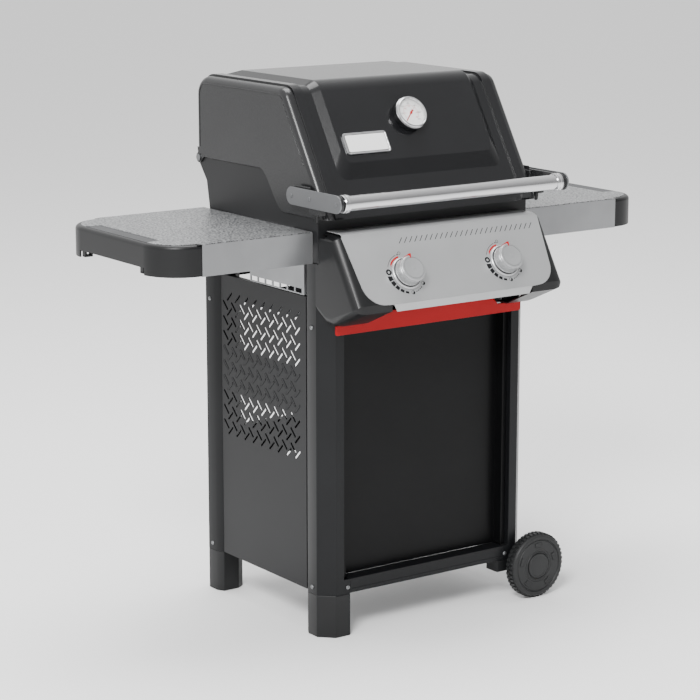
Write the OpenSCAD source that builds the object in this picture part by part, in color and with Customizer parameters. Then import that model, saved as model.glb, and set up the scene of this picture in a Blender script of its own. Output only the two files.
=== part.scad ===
// Two-burner gas grill on a wheeled sheet-steel cart, with a hinged lid and two side tables.
// Origin: on the ground under the middle of the whole grill. +X right, +Y back, +Z up. Millimetres.
// Shapes are drawn from the centre of the cart's four legs, which stands cart_y behind the origin.

/* [Cart] */
// Width over the four legs
cart_w = 522; // [510:1:526]
// Depth over the four legs
cart_d = 468; // [460:1:474]
// Height of the left foot caps
foot_h = 89; // [86:1:92]
// Height of the leg tops
leg_top = 770; // [766:1:771]
// Underside of the axle brackets above the ground
bracket_z = 64; // [60:1:66]

/* [Wheels] */
// Wheel radius
wheel_r = 71; // [68:0.5:73]
// Wheel width
wheel_t = 28; // [26:1:29]
// Axle radius
axle_r = 6; // [5:0.5:7]
// Wheel centre from the middle of the cart
axle_x = 272.5; // [271:0.5:276]

/* [Side panels] */
// Sheet thickness of the side panels
panel_t = 2; // [1.5:0.5:2.5]
// Grid pitch of the slot pattern
slot_pitch = 32; // [31:0.5:32.5]
// Length of one slot
slot_len = 26; // [20:1:28]
// Width of one slot
slot_w = 5; // [4:0.5:6]

/* [Cookbox] */
// Half width of the cookbox
box_hx = 262; // [260:1:262]
// Wall thickness of the casting
box_t = 4; // [3:0.5:5]
// Height of the burner tubes
burner_z = 748; // [746:1:750]
// Burners and knobs from the centre line
burner_x = 123; // [118:1:126]

/* [Lid] */
// Half width of the lid
lid_hx = 266; // [266:0.5:266.5]
// Lean of the lid's front face from the ground
lid_lean = 58.5; // [57.5:0.5:59.5]
// Height of the lid's top sheet
lid_z = 1108; // [1100:1:1112]
// Height of the pressed panel above the lid sheet
emboss = 10; // [8:1:11]
// Opening angle of the lid
lid_open = 88; // [80:1:90]

/* [Handle] */
// Radius of the handle tube
tube_r = 15; // [13:0.5:16]
// Handle axis in front of the cart centre
tube_y = -308; // [-312:1:-304]
// Handle axis height
tube_z = 902; // [900:1:904]

/* [Control panel] */
// Lean of the fascia from the ground
fascia_lean = 58.7; // [58:0.1:59.4]
// Height of the fascia measured up its slope
fascia_h = 153; // [150:1:155]
// Radius of the knob body
knob_r = 28; // [26:0.5:28.5]
// Push travel of a knob
knob_push = 4; // [3:0.5:4]

/* [Side tables] */
// Half width over both tables
table_hx = 605; // [590:1:620]
// Height of the table tops
table_z = 834; // [830:1:835]
// Depth of the table skirt
skirt_h = 62; // [58:1:63]

/* [Hidden] */

$fn = 48;
hx = cart_w / 2;
hy = cart_d / 2;
cart_y = 45;

// Leg section: a large outer chamfer, a short step behind it and a small inner chamfer
leg_chamfer = 28;
leg_face = 59;
leg_deep = 74;
leg_step = 9;
leg_front = 63.8;
leg_sheet = 2.2;
face_x = 48;
step_in = 58.5;
face_recess = 13.5;
rail_z = 120;

axle_z = wheel_r;
wheel_gap = 4;
wheel_y = hy + wheel_gap;
run_gap = 0.08;

panel_x = hx - 7;
panel_y = hy - leg_deep;
panel_low = 90;
panel_high = 697;
slot_y = 124;
slot_z = 653;
slot_cols = 9;
slot_rows = 10;

front_low = rail_z;
front_high = 624;
front_sheet = 1.5;
front_face_y = hy - face_recess + front_sheet;
front_deep_y = hy - 35;

rim_front = 861;
rim_rear = 940;
curve_a = -98;
curve_b = -14;
box_front = -216;
box_rear_top = 204;
box_rear_slope = 0.19;
box_floor = 776;
funnel_x = 188;
funnel_y0 = -156;
funnel_y1 = 150;
funnel_z = 700;
pivot_y = 218;
pivot_z = 937;
pin_r = 4;
grate_z = 838;
grate_h = 18;

face_y = -214;
face_z = 922;
lid_bottom = 861;
lid_sheet = 2;
lid_top_r = 32;
lid_rear_r = 40;
lid_rear = 228;
lid_rear_z = 955;
seam_x = 246;
rim_x = 225;
rim_lift = 4;
bevel_x = 204;
raised_x = 187;

fascia_y = -349.4;
fascia_z = 702;
fascia_t = 1.5;
fascia_hx = 246;
stem_r = 4;
knob_s = 60;
panel_top = 836;

tray_z = 632;
tray_hx = 184;
tray_t = 1.5;

table_in = hx + 5.9;
table_y0 = -203;
table_y1 = 200;
steel_x = 562;
cap_join = 521;
cap_r = 80;

thermo_s = 132;

// ---------- helpers ----------

// Moves a shape drawn from the cart's centre into the grill's own frame
module from_cart() {
    translate([0, cart_y, 0]) children();
}

// Points along a circular arc
function arc(cx, cy, r, a0, a1, n = 8) =
    [for (i = [0:n]) let (a = a0 + (a1 - a0) * i / n) [cx + r * cos(a), cy + r * sin(a)]];

// Child drawing lies in Y and Z, and is extruded from x0 to x1
module along_x(x0, x1) {
    translate([x0, 0, 0]) rotate([90, 0, 90]) linear_extrude(x1 - x0) children();
}

// Child drawing lies in X and Z, and is extruded from y0 to y1
module along_y(y0, y1) {
    translate([0, y1, 0]) rotate([90, 0, 0]) linear_extrude(y1 - y0) children();
}

// Box given by its two corners
module block(a, b) {
    translate(a) cube(b - a);
}

// Shape repeated on the other side of the X = 0 plane
module on_side(side) {
    if (side > 0) children();
    if (side < 0) mirror([1, 0, 0]) children();
}

// Local frame on the fascia: x across, y up the slope, z out of the face
module on_fascia(x, s, off = 0) {
    translate([x, fascia_y, fascia_z]) rotate([fascia_lean, 0, 0]) translate([0, s, off]) children();
}

// Local frame on the lid's sloping face
module on_lid(x, s, off = 0) {
    translate([x, face_y, face_z]) rotate([lid_lean, 0, 0]) translate([0, s, off]) children();
}

// ---------- cart ----------

// Outline of a leg or foot seen from above, corner at the origin, shrunk by i
function foot_outline(i) = let (k = i * 0.414) [
    [i, leg_chamfer + k], [leg_chamfer + k, i], [leg_front - i, i], [leg_front - i, 62],
    [46, leg_deep - i], [leg_step + i, leg_deep - i], [i, leg_face - k]];

// Outline of a front leg above the bottom rail, with the face stepped back for the front panel
function stepped_outline(i) = let (k = i * 0.414) [
    [i, leg_chamfer + k], [leg_chamfer + k, i], [face_x - i, i], [face_x - i, face_recess + i],
    [step_in - i, face_recess + i], [step_in - i, 62], [46, leg_deep - i],
    [leg_step + i, leg_deep - i], [i, leg_face - k]];

// Moves a shape drawn at the front-left corner to any corner
module at_corner(sx, sy) {
    mirror([sx > 0 ? 1 : 0, 0, 0]) mirror([0, sy > 0 ? 1 : 0, 0]) translate([-hx, -hy, 0]) children();
}

module post(z0, z1, stepped) {
    translate([0, 0, z0]) linear_extrude(z1 - z0) difference() {
        polygon(stepped ? stepped_outline(0) : foot_outline(0));
        polygon(stepped ? stepped_outline(leg_sheet) : foot_outline(leg_sheet));
    }
}

module leg(sx, sy) {
    from_cart() color("#3a3b3d") at_corner(sx, sy) {
        if (sy < 0) {
            post(foot_h, rail_z, false);
            post(rail_z, leg_top, true);
        } else {
            post(foot_h, leg_top, false);
        }
    }
}

module leg_front_left() { leg(-1, -1); }
module leg_front_right() { leg(1, -1); }
module leg_rear_left() { leg(-1, 1); }
module leg_rear_right() { leg(1, 1); }

module foot(sy) {
    wall = 3.2;
    from_cart() color("#46484a") at_corner(-1, sy) difference() {
        linear_extrude(foot_h) polygon(foot_outline(0));
        translate([0, 0, 5]) linear_extrude(foot_h) polygon(foot_outline(wall));
    }
}

module foot_front_left() { foot(-1); }
module foot_rear_left() { foot(1); }

// Short cap under a right leg, reaching outboard to hold the axle
module axle_bracket(sy) {
    lug_r = 14;
    lug_y0 = hy - 34;
    lug_y1 = hy - 4;
    from_cart() color("#3f4143") mirror([0, sy > 0 ? 1 : 0, 0]) difference() {
        union() {
            block([hx - 77, -hy, bracket_z], [hx - 9, -hy + 37, foot_h]);
            block([hx - 40, -lug_y1, bracket_z], [axle_x, -lug_y0, foot_h]);
            translate([axle_x, -lug_y0, axle_z]) rotate([90, 0, 0]) cylinder(r = lug_r, h = lug_y1 - lug_y0);
        }
        translate([axle_x, 0, axle_z]) rotate([90, 0, 0]) cylinder(r = axle_r + run_gap, h = hy * 2);
    }
}

module axle_bracket_front() { axle_bracket(-1); }
module axle_bracket_rear() { axle_bracket(1); }

// One row of slots leaning one way, from row j0 to row j1
module slot_rows_2d(y, z, lean, j0, j1) {
    bar = slot_len - slot_w;
    for (i = [0:slot_cols - 1], j = [j0:j1]) {
        translate([y - i * (slot_pitch - 0.5), z - j * slot_pitch]) rotate(lean) {
            square([bar, slot_w], center = true);
            for (e = [-1, 1]) translate([e * bar / 2, 0]) circle(d = slot_w, $fn = 16);
        }
    }
}

// The pierced slots lie above and below a blind band
module through_slots_2d() {
    z2 = slot_z - 20;
    y2 = slot_y + 15.5;
    slot_rows_2d(slot_y, slot_z, -45, 0, 3);
    slot_rows_2d(slot_y, slot_z, -45, 7, slot_rows - 1);
    slot_rows_2d(y2, z2, 45, 0, 2);
    slot_rows_2d(y2, z2, 45, 6, slot_rows - 2);
}

module side_panel(side) {
    flange = 12;
    groove = 4;
    from_cart() color("#3a3b3d") on_side(side) {
        along_x(panel_x - panel_t, panel_x) difference() {
            translate([-panel_y, panel_low]) square([2 * panel_y - groove, panel_high - panel_low]);
            through_slots_2d();
        }
        // folded edges
        block([panel_x - flange, -panel_y, panel_low], [panel_x - panel_t, -panel_y + panel_t, panel_high]);
        block([panel_x - flange, panel_y - groove - panel_t, panel_low],
              [panel_x - panel_t, panel_y - groove, panel_high]);
        block([panel_x - flange, panel_y - groove, panel_low], [panel_x - flange + panel_t, panel_y, panel_high]);
        for (z = [panel_low, panel_high - panel_t])
            block([panel_x - flange, -panel_y + panel_t, z],
                  [panel_x - panel_t, panel_y - groove - panel_t, z + panel_t]);
    }
}

module side_panel_left() { side_panel(-1); }
module side_panel_right() { side_panel(1); }

// Recessed front sheet: outer frame strip, a wall going back and the flat centre
module front_panel() {
    outer = hx - face_x;
    inner = hx - step_in - front_sheet;
    t = front_sheet;
    from_cart() color("#232425") {
        for (side = [-1, 1]) on_side(side) {
            block([inner, -front_face_y, front_low], [outer, -front_face_y + t, front_high]);
            block([inner, -front_face_y + t, front_low], [inner + t, -front_deep_y + t, front_high]);
        }
        block([-inner, -front_deep_y, front_low], [inner, -front_deep_y + t, front_high]);
    }
}

module front_rail() {
    in_x = hx - leg_front;
    t = 2;
    from_cart() color("#38393b") {
        block([-in_x, -hy, panel_low], [in_x, -hy + t, rail_z]);
        block([-in_x, -hy + t, rail_z - t], [in_x, -front_deep_y, rail_z]);
        block([-in_x, -hy + t, panel_low], [in_x, -hy + 20, panel_low + t]);
        block([-in_x + 4, -hy - 1, panel_low + 6], [in_x - 4, -hy, panel_low + 9]);
    }
}

module rear_rail() {
    in_x = hx - leg_front;
    low = 271;
    high = 347;
    t = 2;
    from_cart() color("#1d1e1f") {
        block([-in_x, hy - t - 4, low], [in_x, hy - 4, high]);
        for (z = [low, high - t]) block([-in_x, hy - 24, z], [in_x, hy - t - 4, z + t]);
    }
}

// Angle across the leg tops, with a shelf for the cookbox lugs
module top_rail(sy) {
    in_x = hx - (sy < 0 ? step_in : leg_front);
    t = 2;
    from_cart() color("#2b2c2e") mirror([0, sy > 0 ? 1 : 0, 0]) {
        block([-in_x, -front_face_y, 676], [in_x, -front_face_y + t, 720]);
        block([-in_x, -front_face_y + t, 718], [in_x, -front_face_y + 42, 720]);
    }
}

module front_top_rail() { top_rail(-1); }
module rear_top_rail() { top_rail(1); }

// Pan-head screw along -Y
module screw_y(x, y, z) {
    translate([x, y, z]) rotate([90, 0, 0]) cylinder(r = 4.5, h = 2.4, $fn = 24);
}

// Pan-head screw along X, towards the given side
module screw_x(x, y, z, side) {
    translate([x, y, z]) rotate([0, side * 90, 0]) cylinder(r = 4.5, h = 2.4, $fn = 24);
}

module cart_screws() {
    screw_z = 103;
    from_cart() color("#5b5d60") for (side = [-1, 1]) {
        screw_y(side * (hx - 57), -hy, screw_z);
        for (y = [-1, 1]) screw_x(side * hx, y * (hy - 44), screw_z, side);
        for (y = [-1, 1]) screw_x(side * hx, y * (hy - 44), 640, side);
    }
}

// ---------- wheels ----------

module axle() {
    reach = wheel_y + wheel_t - 4.4;
    from_cart() color("#9a9c9f") translate([axle_x, reach, axle_z]) rotate([90, 0, 0]) cylinder(r = axle_r, h = 2 * reach);
}

// Wheel section from the bore out, with the outer face at the far end
module wheel_2d() {
    bore = axle_r + run_gap;
    web = 8;
    difference() {
        translate([bore, 0]) square([wheel_r - bore, wheel_t]);
        translate([17, -1]) square([43, wheel_t - web + 1]);
        translate([-1, wheel_t - 5]) square([29.5, 6]);
        polygon([[wheel_r - 3, -1], [wheel_r + 1, -1], [wheel_r + 1, 3]]);
        polygon([[wheel_r - 3, wheel_t + 1], [wheel_r + 1, wheel_t + 1], [wheel_r + 1, wheel_t - 3]]);
    }
}

module wheel(sy) {
    from_cart() color("#2c2d2e") mirror([0, sy > 0 ? 1 : 0, 0])
        translate([axle_x, -wheel_y, axle_z]) rotate([90, 0, 0]) rotate_extrude($fn = 96) wheel_2d();
}

module wheel_front() { wheel(-1); }
module wheel_rear() { wheel(1); }

module hub_cap(sy) {
    from_cart() color("#343536") mirror([0, sy > 0 ? 1 : 0, 0])
        translate([axle_x, -wheel_y - wheel_t + 4.5, axle_z]) rotate([90, 0, 0]) rotate_extrude($fn = 64)
            polygon([[0, 0.5], [8, 0.5], [8, -0.5], [27, -0.5], [27, 4], [25, 5.5], [0, 5.5]]);
}

module hub_cap_front() { hub_cap(-1); }
module hub_cap_rear() { hub_cap(1); }

// ---------- cookbox ----------

// Height of the parting line between lid and cookbox, rising from front to rear in an S
function part_z(y) = let (t = min(1, max(0, (y - curve_a) / (curve_b - curve_a))))
    rim_front + (rim_rear - rim_front) * t * t * (3 - 2 * t);

part_curve = [for (i = [0:12]) let (y = curve_a + (curve_b - curve_a) * i / 12) [y, part_z(y)]];

// Position of the cookbox's rear face at height z
function box_rear(z) = box_rear_top - (rim_rear - z) * box_rear_slope;

// Side wall outline of the cookbox, a little below the parting line
module box_side_2d() {
    drop = 1.5;
    polygon(concat(
        [[box_front, box_floor], [box_front, rim_front - drop]],
        [for (p = part_curve) [p[0] + 1, p[1] - drop]],
        [[box_rear_top, rim_rear - drop], [box_rear(box_floor), box_floor]]));
}

// Hinge ear behind the side wall
module box_ear_2d() {
    ear_r = 11;
    difference() {
        union() {
            translate([pivot_y, pivot_z]) circle(r = ear_r);
            polygon([[194, 890], [pivot_y + 7, pivot_z - 8], [pivot_y, pivot_z + ear_r], [200, pivot_z + 1.5]]);
        }
        box_side_2d();
    }
}

// Funnel under the cookbox floor, shrunk by i
module funnel(i) {
    hull() {
        block([-funnel_x + i, funnel_y0 + i, box_floor - 1], [funnel_x - i, funnel_y1 - i, box_floor]);
        block([-funnel_x + 24 + i, funnel_y0 + 20 + i, funnel_z + i],
              [funnel_x - 24 - i, funnel_y1 - 20 - i, funnel_z + i + 1]);
    }
}

module cookbox() {
    ledge = 10;
    from_cart() color("#434446") difference() {
        union() {
            for (side = [-1, 1]) on_side(side) {
                along_x(box_hx - box_t, box_hx) box_side_2d();
                along_x(box_hx - 12, box_hx) box_ear_2d();
            }
            // front and rear walls
            along_x(-box_hx + box_t, box_hx - box_t) polygon([
                [box_front, box_floor], [box_front, rim_front - 1.5],
                [box_front + box_t, rim_front - 1.5], [box_front + box_t, box_floor]]);
            along_x(-box_hx + box_t, box_hx - box_t) polygon([
                [box_rear(box_floor), box_floor], [box_rear_top, rim_rear - 1.5],
                [box_rear_top - box_t, rim_rear - 1.5], [box_rear(box_floor) - box_t, box_floor]]);
            // ledges for the grates and the heat bars
            for (z = [grate_z, 800]) {
                block([-box_hx + box_t, box_front + box_t, z - 5],
                      [box_hx - box_t, box_front + box_t + ledge, z]);
                block([-box_hx + box_t, box_rear(z) - box_t - ledge, z - 5],
                      [box_hx - box_t, box_rear(z - 5) - box_t / 2, z]);
            }
            // floor ring, funnel and lugs
            difference() {
                block([-box_hx, box_front, box_floor - 4], [box_hx, box_rear(box_floor), box_floor]);
                block([-funnel_x + 4, funnel_y0 + 4, box_floor - 5], [funnel_x - 4, funnel_y1 - 4, box_floor + 1]);
            }
            difference() {
                funnel(0);
                funnel(box_t);
                block([-funnel_x, funnel_y0, box_floor - 0.5], [funnel_x, funnel_y1, box_floor + 1]);
            }
            for (x = [-1, 1], y = [0, 1])
                block([x * 150 - 18, y ? 120 : -212, 720], [x * 150 + 18, y ? 214 : -126, 728]);
        }
        // hollow inside the funnel, cleared again where the lugs cross it
        funnel(box_t);
        // grease outlet
        block([-40, -60, funnel_z - 1], [40, 60, funnel_z + box_t + 2]);
        // burner tube holes and hinge pin holes
        for (x = [-1, 1]) translate([x * burner_x, -120, burner_z]) rotate([90, 0, 0]) cylinder(r = 12.6, h = 60);
        translate([-box_hx - 1, pivot_y, pivot_z]) rotate([0, 90, 0]) cylinder(r = pin_r, h = 2 * box_hx + 2);
    }
}

// Two bent steel pins with a round washer head, one on each side
module hinge_pins() {
    from_cart() color("#c9cbcd") for (side = [-1, 1]) on_side(side)
        translate([box_hx - 12, pivot_y, pivot_z]) rotate([0, 90, 0]) {
            cylinder(r = pin_r, h = lid_hx - box_hx + 12.3);
            translate([0, 0, lid_hx - box_hx + 12.3]) cylinder(r = 7.5, h = 2);
        }
}

// ---------- gas train ----------

valve_back = -58;
valve_front = -18;
manifold_r = 9;
manifold_off = valve_back - 4 - manifold_r;

// Supply pipe across the back of the control panel, with the threaded gas inlet at its right end
module manifold() {
    reach = 150;
    c = fascia_lean;
    py = fascia_y + knob_s * cos(c) - manifold_off * sin(c);
    pz = fascia_z + knob_s * sin(c) + manifold_off * cos(c);
    from_cart() color("#b9babb") union() {
        translate([-reach, py, pz]) rotate([0, 90, 0]) cylinder(r = manifold_r, h = 2 * reach);
        for (x = [-1, 1]) on_fascia(x * burner_x, knob_s, manifold_off) cylinder(r = 7, h = manifold_r + 4);
        // elbow and flare fitting for the hose, pointing down
        translate([reach, py, pz]) sphere(r = manifold_r);
        translate([reach, py, pz - 18]) cylinder(r = manifold_r, h = 18);
        translate([reach, py, pz - 23]) cylinder(r = 11, h = 5, $fn = 6);
        translate([reach, py, pz - 37]) cylinder(r = 7.9, h = 14);
    }
}

module valve(x) {
    s0 = knob_s;
    from_cart() color("#b08d4f") difference() {
        union() {
            on_fascia(x, s0, valve_back) translate([-12, -12, 0]) cube([24, 24, valve_front - valve_back]);
            // spud that feeds the burner tube
            translate([x, -258, burner_z]) rotate([90, 0, 0]) cylinder(r = 5, h = 34);
        }
        on_fascia(x, s0, valve_back + 6) cylinder(r = stem_r + run_gap, h = 60);
    }
}

module valve_left() { valve(-burner_x); }
module valve_right() { valve(burner_x); }

module valve_stem(x) {
    from_cart() color("#c8a566") on_fascia(x, knob_s, valve_back + 11) cylinder(r = stem_r, h = 17 - valve_back - 11);
}

module valve_stem_left() { valve_stem(-burner_x); }
module valve_stem_right() { valve_stem(burner_x); }

// Knob: stepped body, hollow behind, with a hub that fits the valve stem
module knob(x) {
    back = 6.5;
    face = 30;
    from_cart() color("#b9bbbd") on_fascia(x, knob_s, 0) difference() {
        rotate_extrude($fn = 72) polygon([
            [stem_r + run_gap, back], [7.5, back], [7.5, face - 8], [knob_r - 4, face - 8], [knob_r - 2.5, back],
            [knob_r + 0.5, back], [knob_r, face - 7], [knob_r - 2, face - 6.4], [knob_r - 2.2, face - 1.2],
            [knob_r - 3.4, face], [knob_r - 8, face - 0.8], [0, face - 0.8], [0, 22], [stem_r + run_gap, 22]]);
    }
}

module knob_left() { knob(-burner_x); }
module knob_right() { knob(burner_x); }

module knob_bezels() {
    from_cart() color("#8d8f92") for (x = [-1, 1]) on_fascia(x * burner_x, knob_s, 0)
        rotate_extrude($fn = 72) polygon([[29.8, 0], [34, 0], [34, 3.5], [32.5, 5.5], [30.6, 5.5], [29.8, 4.5]]);
}

// Burner tube with an open venturi end at the front and a flattened, closed rear end
module burner(x) {
    y0 = -263;
    y1 = 134;
    from_cart() color("#8f9092") translate([x, y1, burner_z]) rotate([90, 0, 0]) difference() {
        cylinder(r = 12.5, h = y1 - y0);
        translate([0, 0, 3]) cylinder(r = 11, h = y1 - y0);
        for (i = [0:17], a = [-60, 60]) translate([0, 0, 20 + i * 12]) rotate([-90, 0, a])
            translate([0, 0, 8]) cylinder(r = 1.3, h = 8, $fn = 16);
    }
}

module burner_left() { burner(-burner_x); }
module burner_right() { burner(burner_x); }

// Ceramic electrodes beside the front of each burner
module igniters() {
    from_cart() color("#e8e4da") for (x = [-1, 1]) translate([x * (burner_x + 16.8), -104, burner_z]) rotate([-90, 0, 0]) {
        cylinder(r = 4, h = 44);
        translate([0, 0, 44]) cylinder(r = 1.2, h = 12, $fn = 16);
    }
}

// Three inverted-V bars over the burners, resting on the lower ledges
module heat_bars() {
    w = 74;
    rise = 26;
    t = 1.6;
    z = 800;
    from_cart() color("#55565a") for (x = [-1, 0, 1])
        translate([x * burner_x * 1.2, 0, z]) along_y(box_front + box_t + 1, box_rear(z) - box_t - 1)
            polygon([[-w / 2, 0], [0, rise], [w / 2, 0], [w / 2 - 2 * t, 0], [0, rise - 1.3 * t], [2 * t - w / 2, 0]]);
}

// Cast grate: frame, long bars and three cross bars
module grate(side) {
    y0 = box_front + box_t + 1;
    y1 = box_rear(grate_z) - box_t - 3;
    x0 = 1;
    x1 = box_hx - box_t - 1.5;
    bar = 7;
    bars = 13;
    pitch = (x1 - x0 - bar) / (bars - 1);
    from_cart() color("#2f3032") on_side(side) {
        for (i = [0:bars - 1])
            block([x0 + i * pitch, y0, grate_z + 4], [x0 + i * pitch + bar, y1, grate_z + grate_h]);
        for (y = [y0, (y0 + y1) / 2 - bar / 2, y1 - bar])
            block([x0, y, grate_z], [x1, y + bar, grate_z + grate_h - 6]);
    }
}

module grate_left() { grate(-1); }
module grate_right() { grate(1); }

// ---------- grease tray ----------

// Open sheet tray that slides out forwards under the control panel
module grease_tray() {
    y0 = -hy;
    y1 = 168;
    h = 18;
    from_cart() color("#8b8d90") difference() {
        block([-tray_hx, y0, tray_z], [tray_hx, y1, tray_z + h]);
        block([-tray_hx + tray_t, y0 + tray_t, tray_z + tray_t], [tray_hx - tray_t, y1 - tray_t, tray_z + h + 1]);
    }
}

// Painted tray front, taller in the middle where the fascia lip leaves room
module tray_front() {
    half = 235;
    low = 627;
    high = 664;
    end_high = 647;
    r = 5;
    t = 2.5;
    from_cart() color("#c8262c") along_y(-hy - t, -hy) polygon(concat(
        arc(-half + r, low + r, r, 180, 270, 5), arc(half - r, low + r, r, 270, 360, 5),
        [[half, end_high], [174, end_high], [160, high], [-160, high], [-174, end_high], [-half, end_high]]));
}

module drip_pan() {
    from_cart() color("#c3c5c7") difference() {
        block([-80, -70, tray_z + tray_t], [80, 50, tray_z + tray_t + 15]);
        block([-79, -69, tray_z + tray_t + 1], [79, 49, tray_z + tray_t + 16]);
    }
}

// Angle runners on the inner leg faces
module tray_runners() {
    t = 2;
    in_x = hx - leg_front;
    from_cart() color("#6b6d70") for (side = [-1, 1]) on_side(side) {
        block([tray_hx - 8, -front_face_y + 2, tray_z - 2.2], [in_x, hy - 40, tray_z - 0.2]);
        block([in_x - t, -front_face_y + 2, tray_z - 0.2], [in_x, hy - 40, tray_z + 24]);
        block([in_x, -210, tray_z - 0.2], [hx - step_in, -170, tray_z + 24]);
    }
}

// ---------- control panel ----------

// Fascia outline: nearly straight sides that lean in, and large lower corners
module fascia_2d(grow = 0) {
    r = 46;
    polygon(concat(
        [[-175, -grow]],
        [for (p = arc(-190.5, 47, r + grow, 268, 186, 12)) p],
        [for (p = arc(-241, fascia_h - 5, 5 + grow, 180, 90, 4)) p],
        [for (p = arc(241, fascia_h - 5, 5 + grow, 90, 0, 4)) p],
        [for (p = arc(190.5, 47, r + grow, -6, -88, 12)) p],
        [[175, -grow]]));
}

module control_fascia() {
    t = fascia_t;
    top_y = fascia_y + fascia_h * cos(fascia_lean);
    top_z = fascia_z + fascia_h * sin(fascia_lean);
    from_cart() color("#c9cbcd") difference() {
        union() {
            on_fascia(0, 0, -t) linear_extrude(t) fascia_2d();
            // upper fold running back to the cookbox
            along_x(-243, 243) polygon([[top_y, top_z], [top_y + 10, panel_top], [box_front - 2, panel_top],
                                        [box_front - 2, panel_top - t], [top_y + 10.5, panel_top - t],
                                        [top_y + 2, top_z - t]]);
            // lower lip
            along_y(fascia_y + 1, fascia_y + 1 + t)
                polygon([[-174, fascia_z], [174, fascia_z], [166, fascia_z - 15], [-166, fascia_z - 15]]);
        }
        for (x = [-1, 1]) on_fascia(x * burner_x, knob_s, -5) cylinder(r = 9, h = 10);
    }
}

// Side outline of the control panel end cap, shrunk by i
function cap_outline(i) = let (
    c = cos(fascia_lean), s = sin(fascia_lean),
    fy = fascia_y + fascia_t * s + i * s, fz = fascia_z - fascia_t * c - i * c)
    [[-206, panel_top - 2 - i], [fy + (fascia_h - 4) * c, fz + (fascia_h - 4) * s],
     [fy + 4 * c, fz + 4 * s], [fascia_y + 4 + i, fascia_z - 14 + i * 0.6],
     [-262, 651 + i], [-hy - 3, 651 + i], [-206, 668 + i]];

// Rounding of a control panel end cap: distance from the centre line, and shrinkage of the outline
cap_round = [[247, 2], [254, 6], [259, 11.5], [262, 20]];

module cap_solid(i) {
    hull() {
        along_x(172 + i, 234) polygon(cap_outline(i));
        for (p = cap_round) along_x(p[0] - i - 0.5, p[0] - i) polygon(cap_outline(p[1] + i));
    }
}

// Plastic end cap that closes the side of the control panel and wraps the leg's chamfer
module control_cap(side) {
    from_cart() color("#404244") on_side(side) difference() {
        cap_solid(0);
        cap_solid(3);
        // room for the fascia, the inner opening, the leg and the runners
        block([150, -500, 500], [176, -180, 900]);
        block([150, -hy - 2, 640], [hx - leg_chamfer - 1, -150, 860]);
        translate([0, 0, 600]) linear_extrude(173) polygon([
            [hx - leg_chamfer - 4, -hy - 3.2], [hx - leg_chamfer + 1.4, -hy - 3.2],
            [hx + 0.4, -hy + leg_chamfer - 1], [hx + 5, -150], [hx - 80, -150]]);
        block([150, box_front - 0.4, 770], [hx + 5, -150, 900]);
        block([150, -hy + 2, 770], [258.5, -150, 829]);
    }
}

module control_cap_left() { control_cap(-1); }
module control_cap_right() { control_cap(1); }

// ---------- lid ----------

// Point on the face line at distance s up the slope and off outwards
function face_pt(s, off) = [face_y + s * cos(lid_lean) - off * sin(lid_lean),
                            face_z + s * sin(lid_lean) + off * cos(lid_lean)];

face_foot = (lid_bottom - face_z) / sin(lid_lean);
face_head = (lid_z - face_z) / sin(lid_lean);
bend = lid_top_r * tan(lid_lean / 2);
top_cy = face_y + (face_head * cos(lid_lean)) + bend;
rear_cy = lid_rear - lid_rear_r;
rear_cz = lid_z - lid_rear_r;

// Side outline of the lid, shrunk by i, closed along its bottom
function lid_outline(i) = concat(
    [face_pt(face_foot - i * 0.6, -i)],
    arc(top_cy, lid_z - lid_top_r, lid_top_r - i, 90 + lid_lean, 90, 7),
    arc(rear_cy, rear_cz, lid_rear_r - i, 90, 0, 7),
    [[lid_rear - i, lid_bottom]]);

// Everything of the lid lies above this outline: the parting line and the cut above the hinge
module lid_region_2d(gap) {
    polygon(concat(
        [[-400, rim_front], [curve_a, rim_front]],
        [for (p = part_curve) p],
        [[pivot_y - gap, rim_rear], [pivot_y - gap, lid_rear_z], [300, lid_rear_z], [300, 1300], [-400, 1300]]));
}

// Raised centre panel: base outline and top outline
module raised_2d(off, s0, back) {
    polygon(concat(
        [face_pt(s0, -40), face_pt(s0, off)],
        arc(top_cy, lid_z - lid_top_r, lid_top_r + off, 90 + lid_lean, 90, 7),
        [[back, lid_z + off], [back, lid_z - 40]]));
}

module raised_solid(i) {
    hull() {
        along_x(-bevel_x + i, bevel_x - i) raised_2d(-i, 10 + i, 206);
        along_x(-raised_x + i, raised_x - i) raised_2d(emboss - i, 42 + i, 172);
    }
}

module lid_shell() {
    t = lid_sheet;
    from_cart() color("#3c3d3f") difference() {
        union() {
            along_x(-seam_x, seam_x) polygon(lid_outline(0));
            for (side = [-1, 1]) on_side(side) along_x(rim_x, seam_x) polygon(lid_outline(-rim_lift));
            raised_solid(0);
        }
        along_x(-seam_x - 1, seam_x + 1) difference() {
            polygon(lid_outline(t));
            translate([-500, 1300]) square(1);
        }
        raised_solid(t);
        along_x(-seam_x - 1, seam_x + 1) difference() {
            translate([-400, 700]) square([800, 700]);
            lid_region_2d(60);
            translate([-400, lid_bottom]) square([320, 500]);
        }
        on_lid(0, thermo_s, -20) cylinder(r = 3.3, h = 60);
    }
}

// Rounding of a lid end: depth below its side face, and shrinkage of the outline
lid_round = [[9, 1.2], [5, 3.4], [2, 6.8], [0, 12]];

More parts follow.
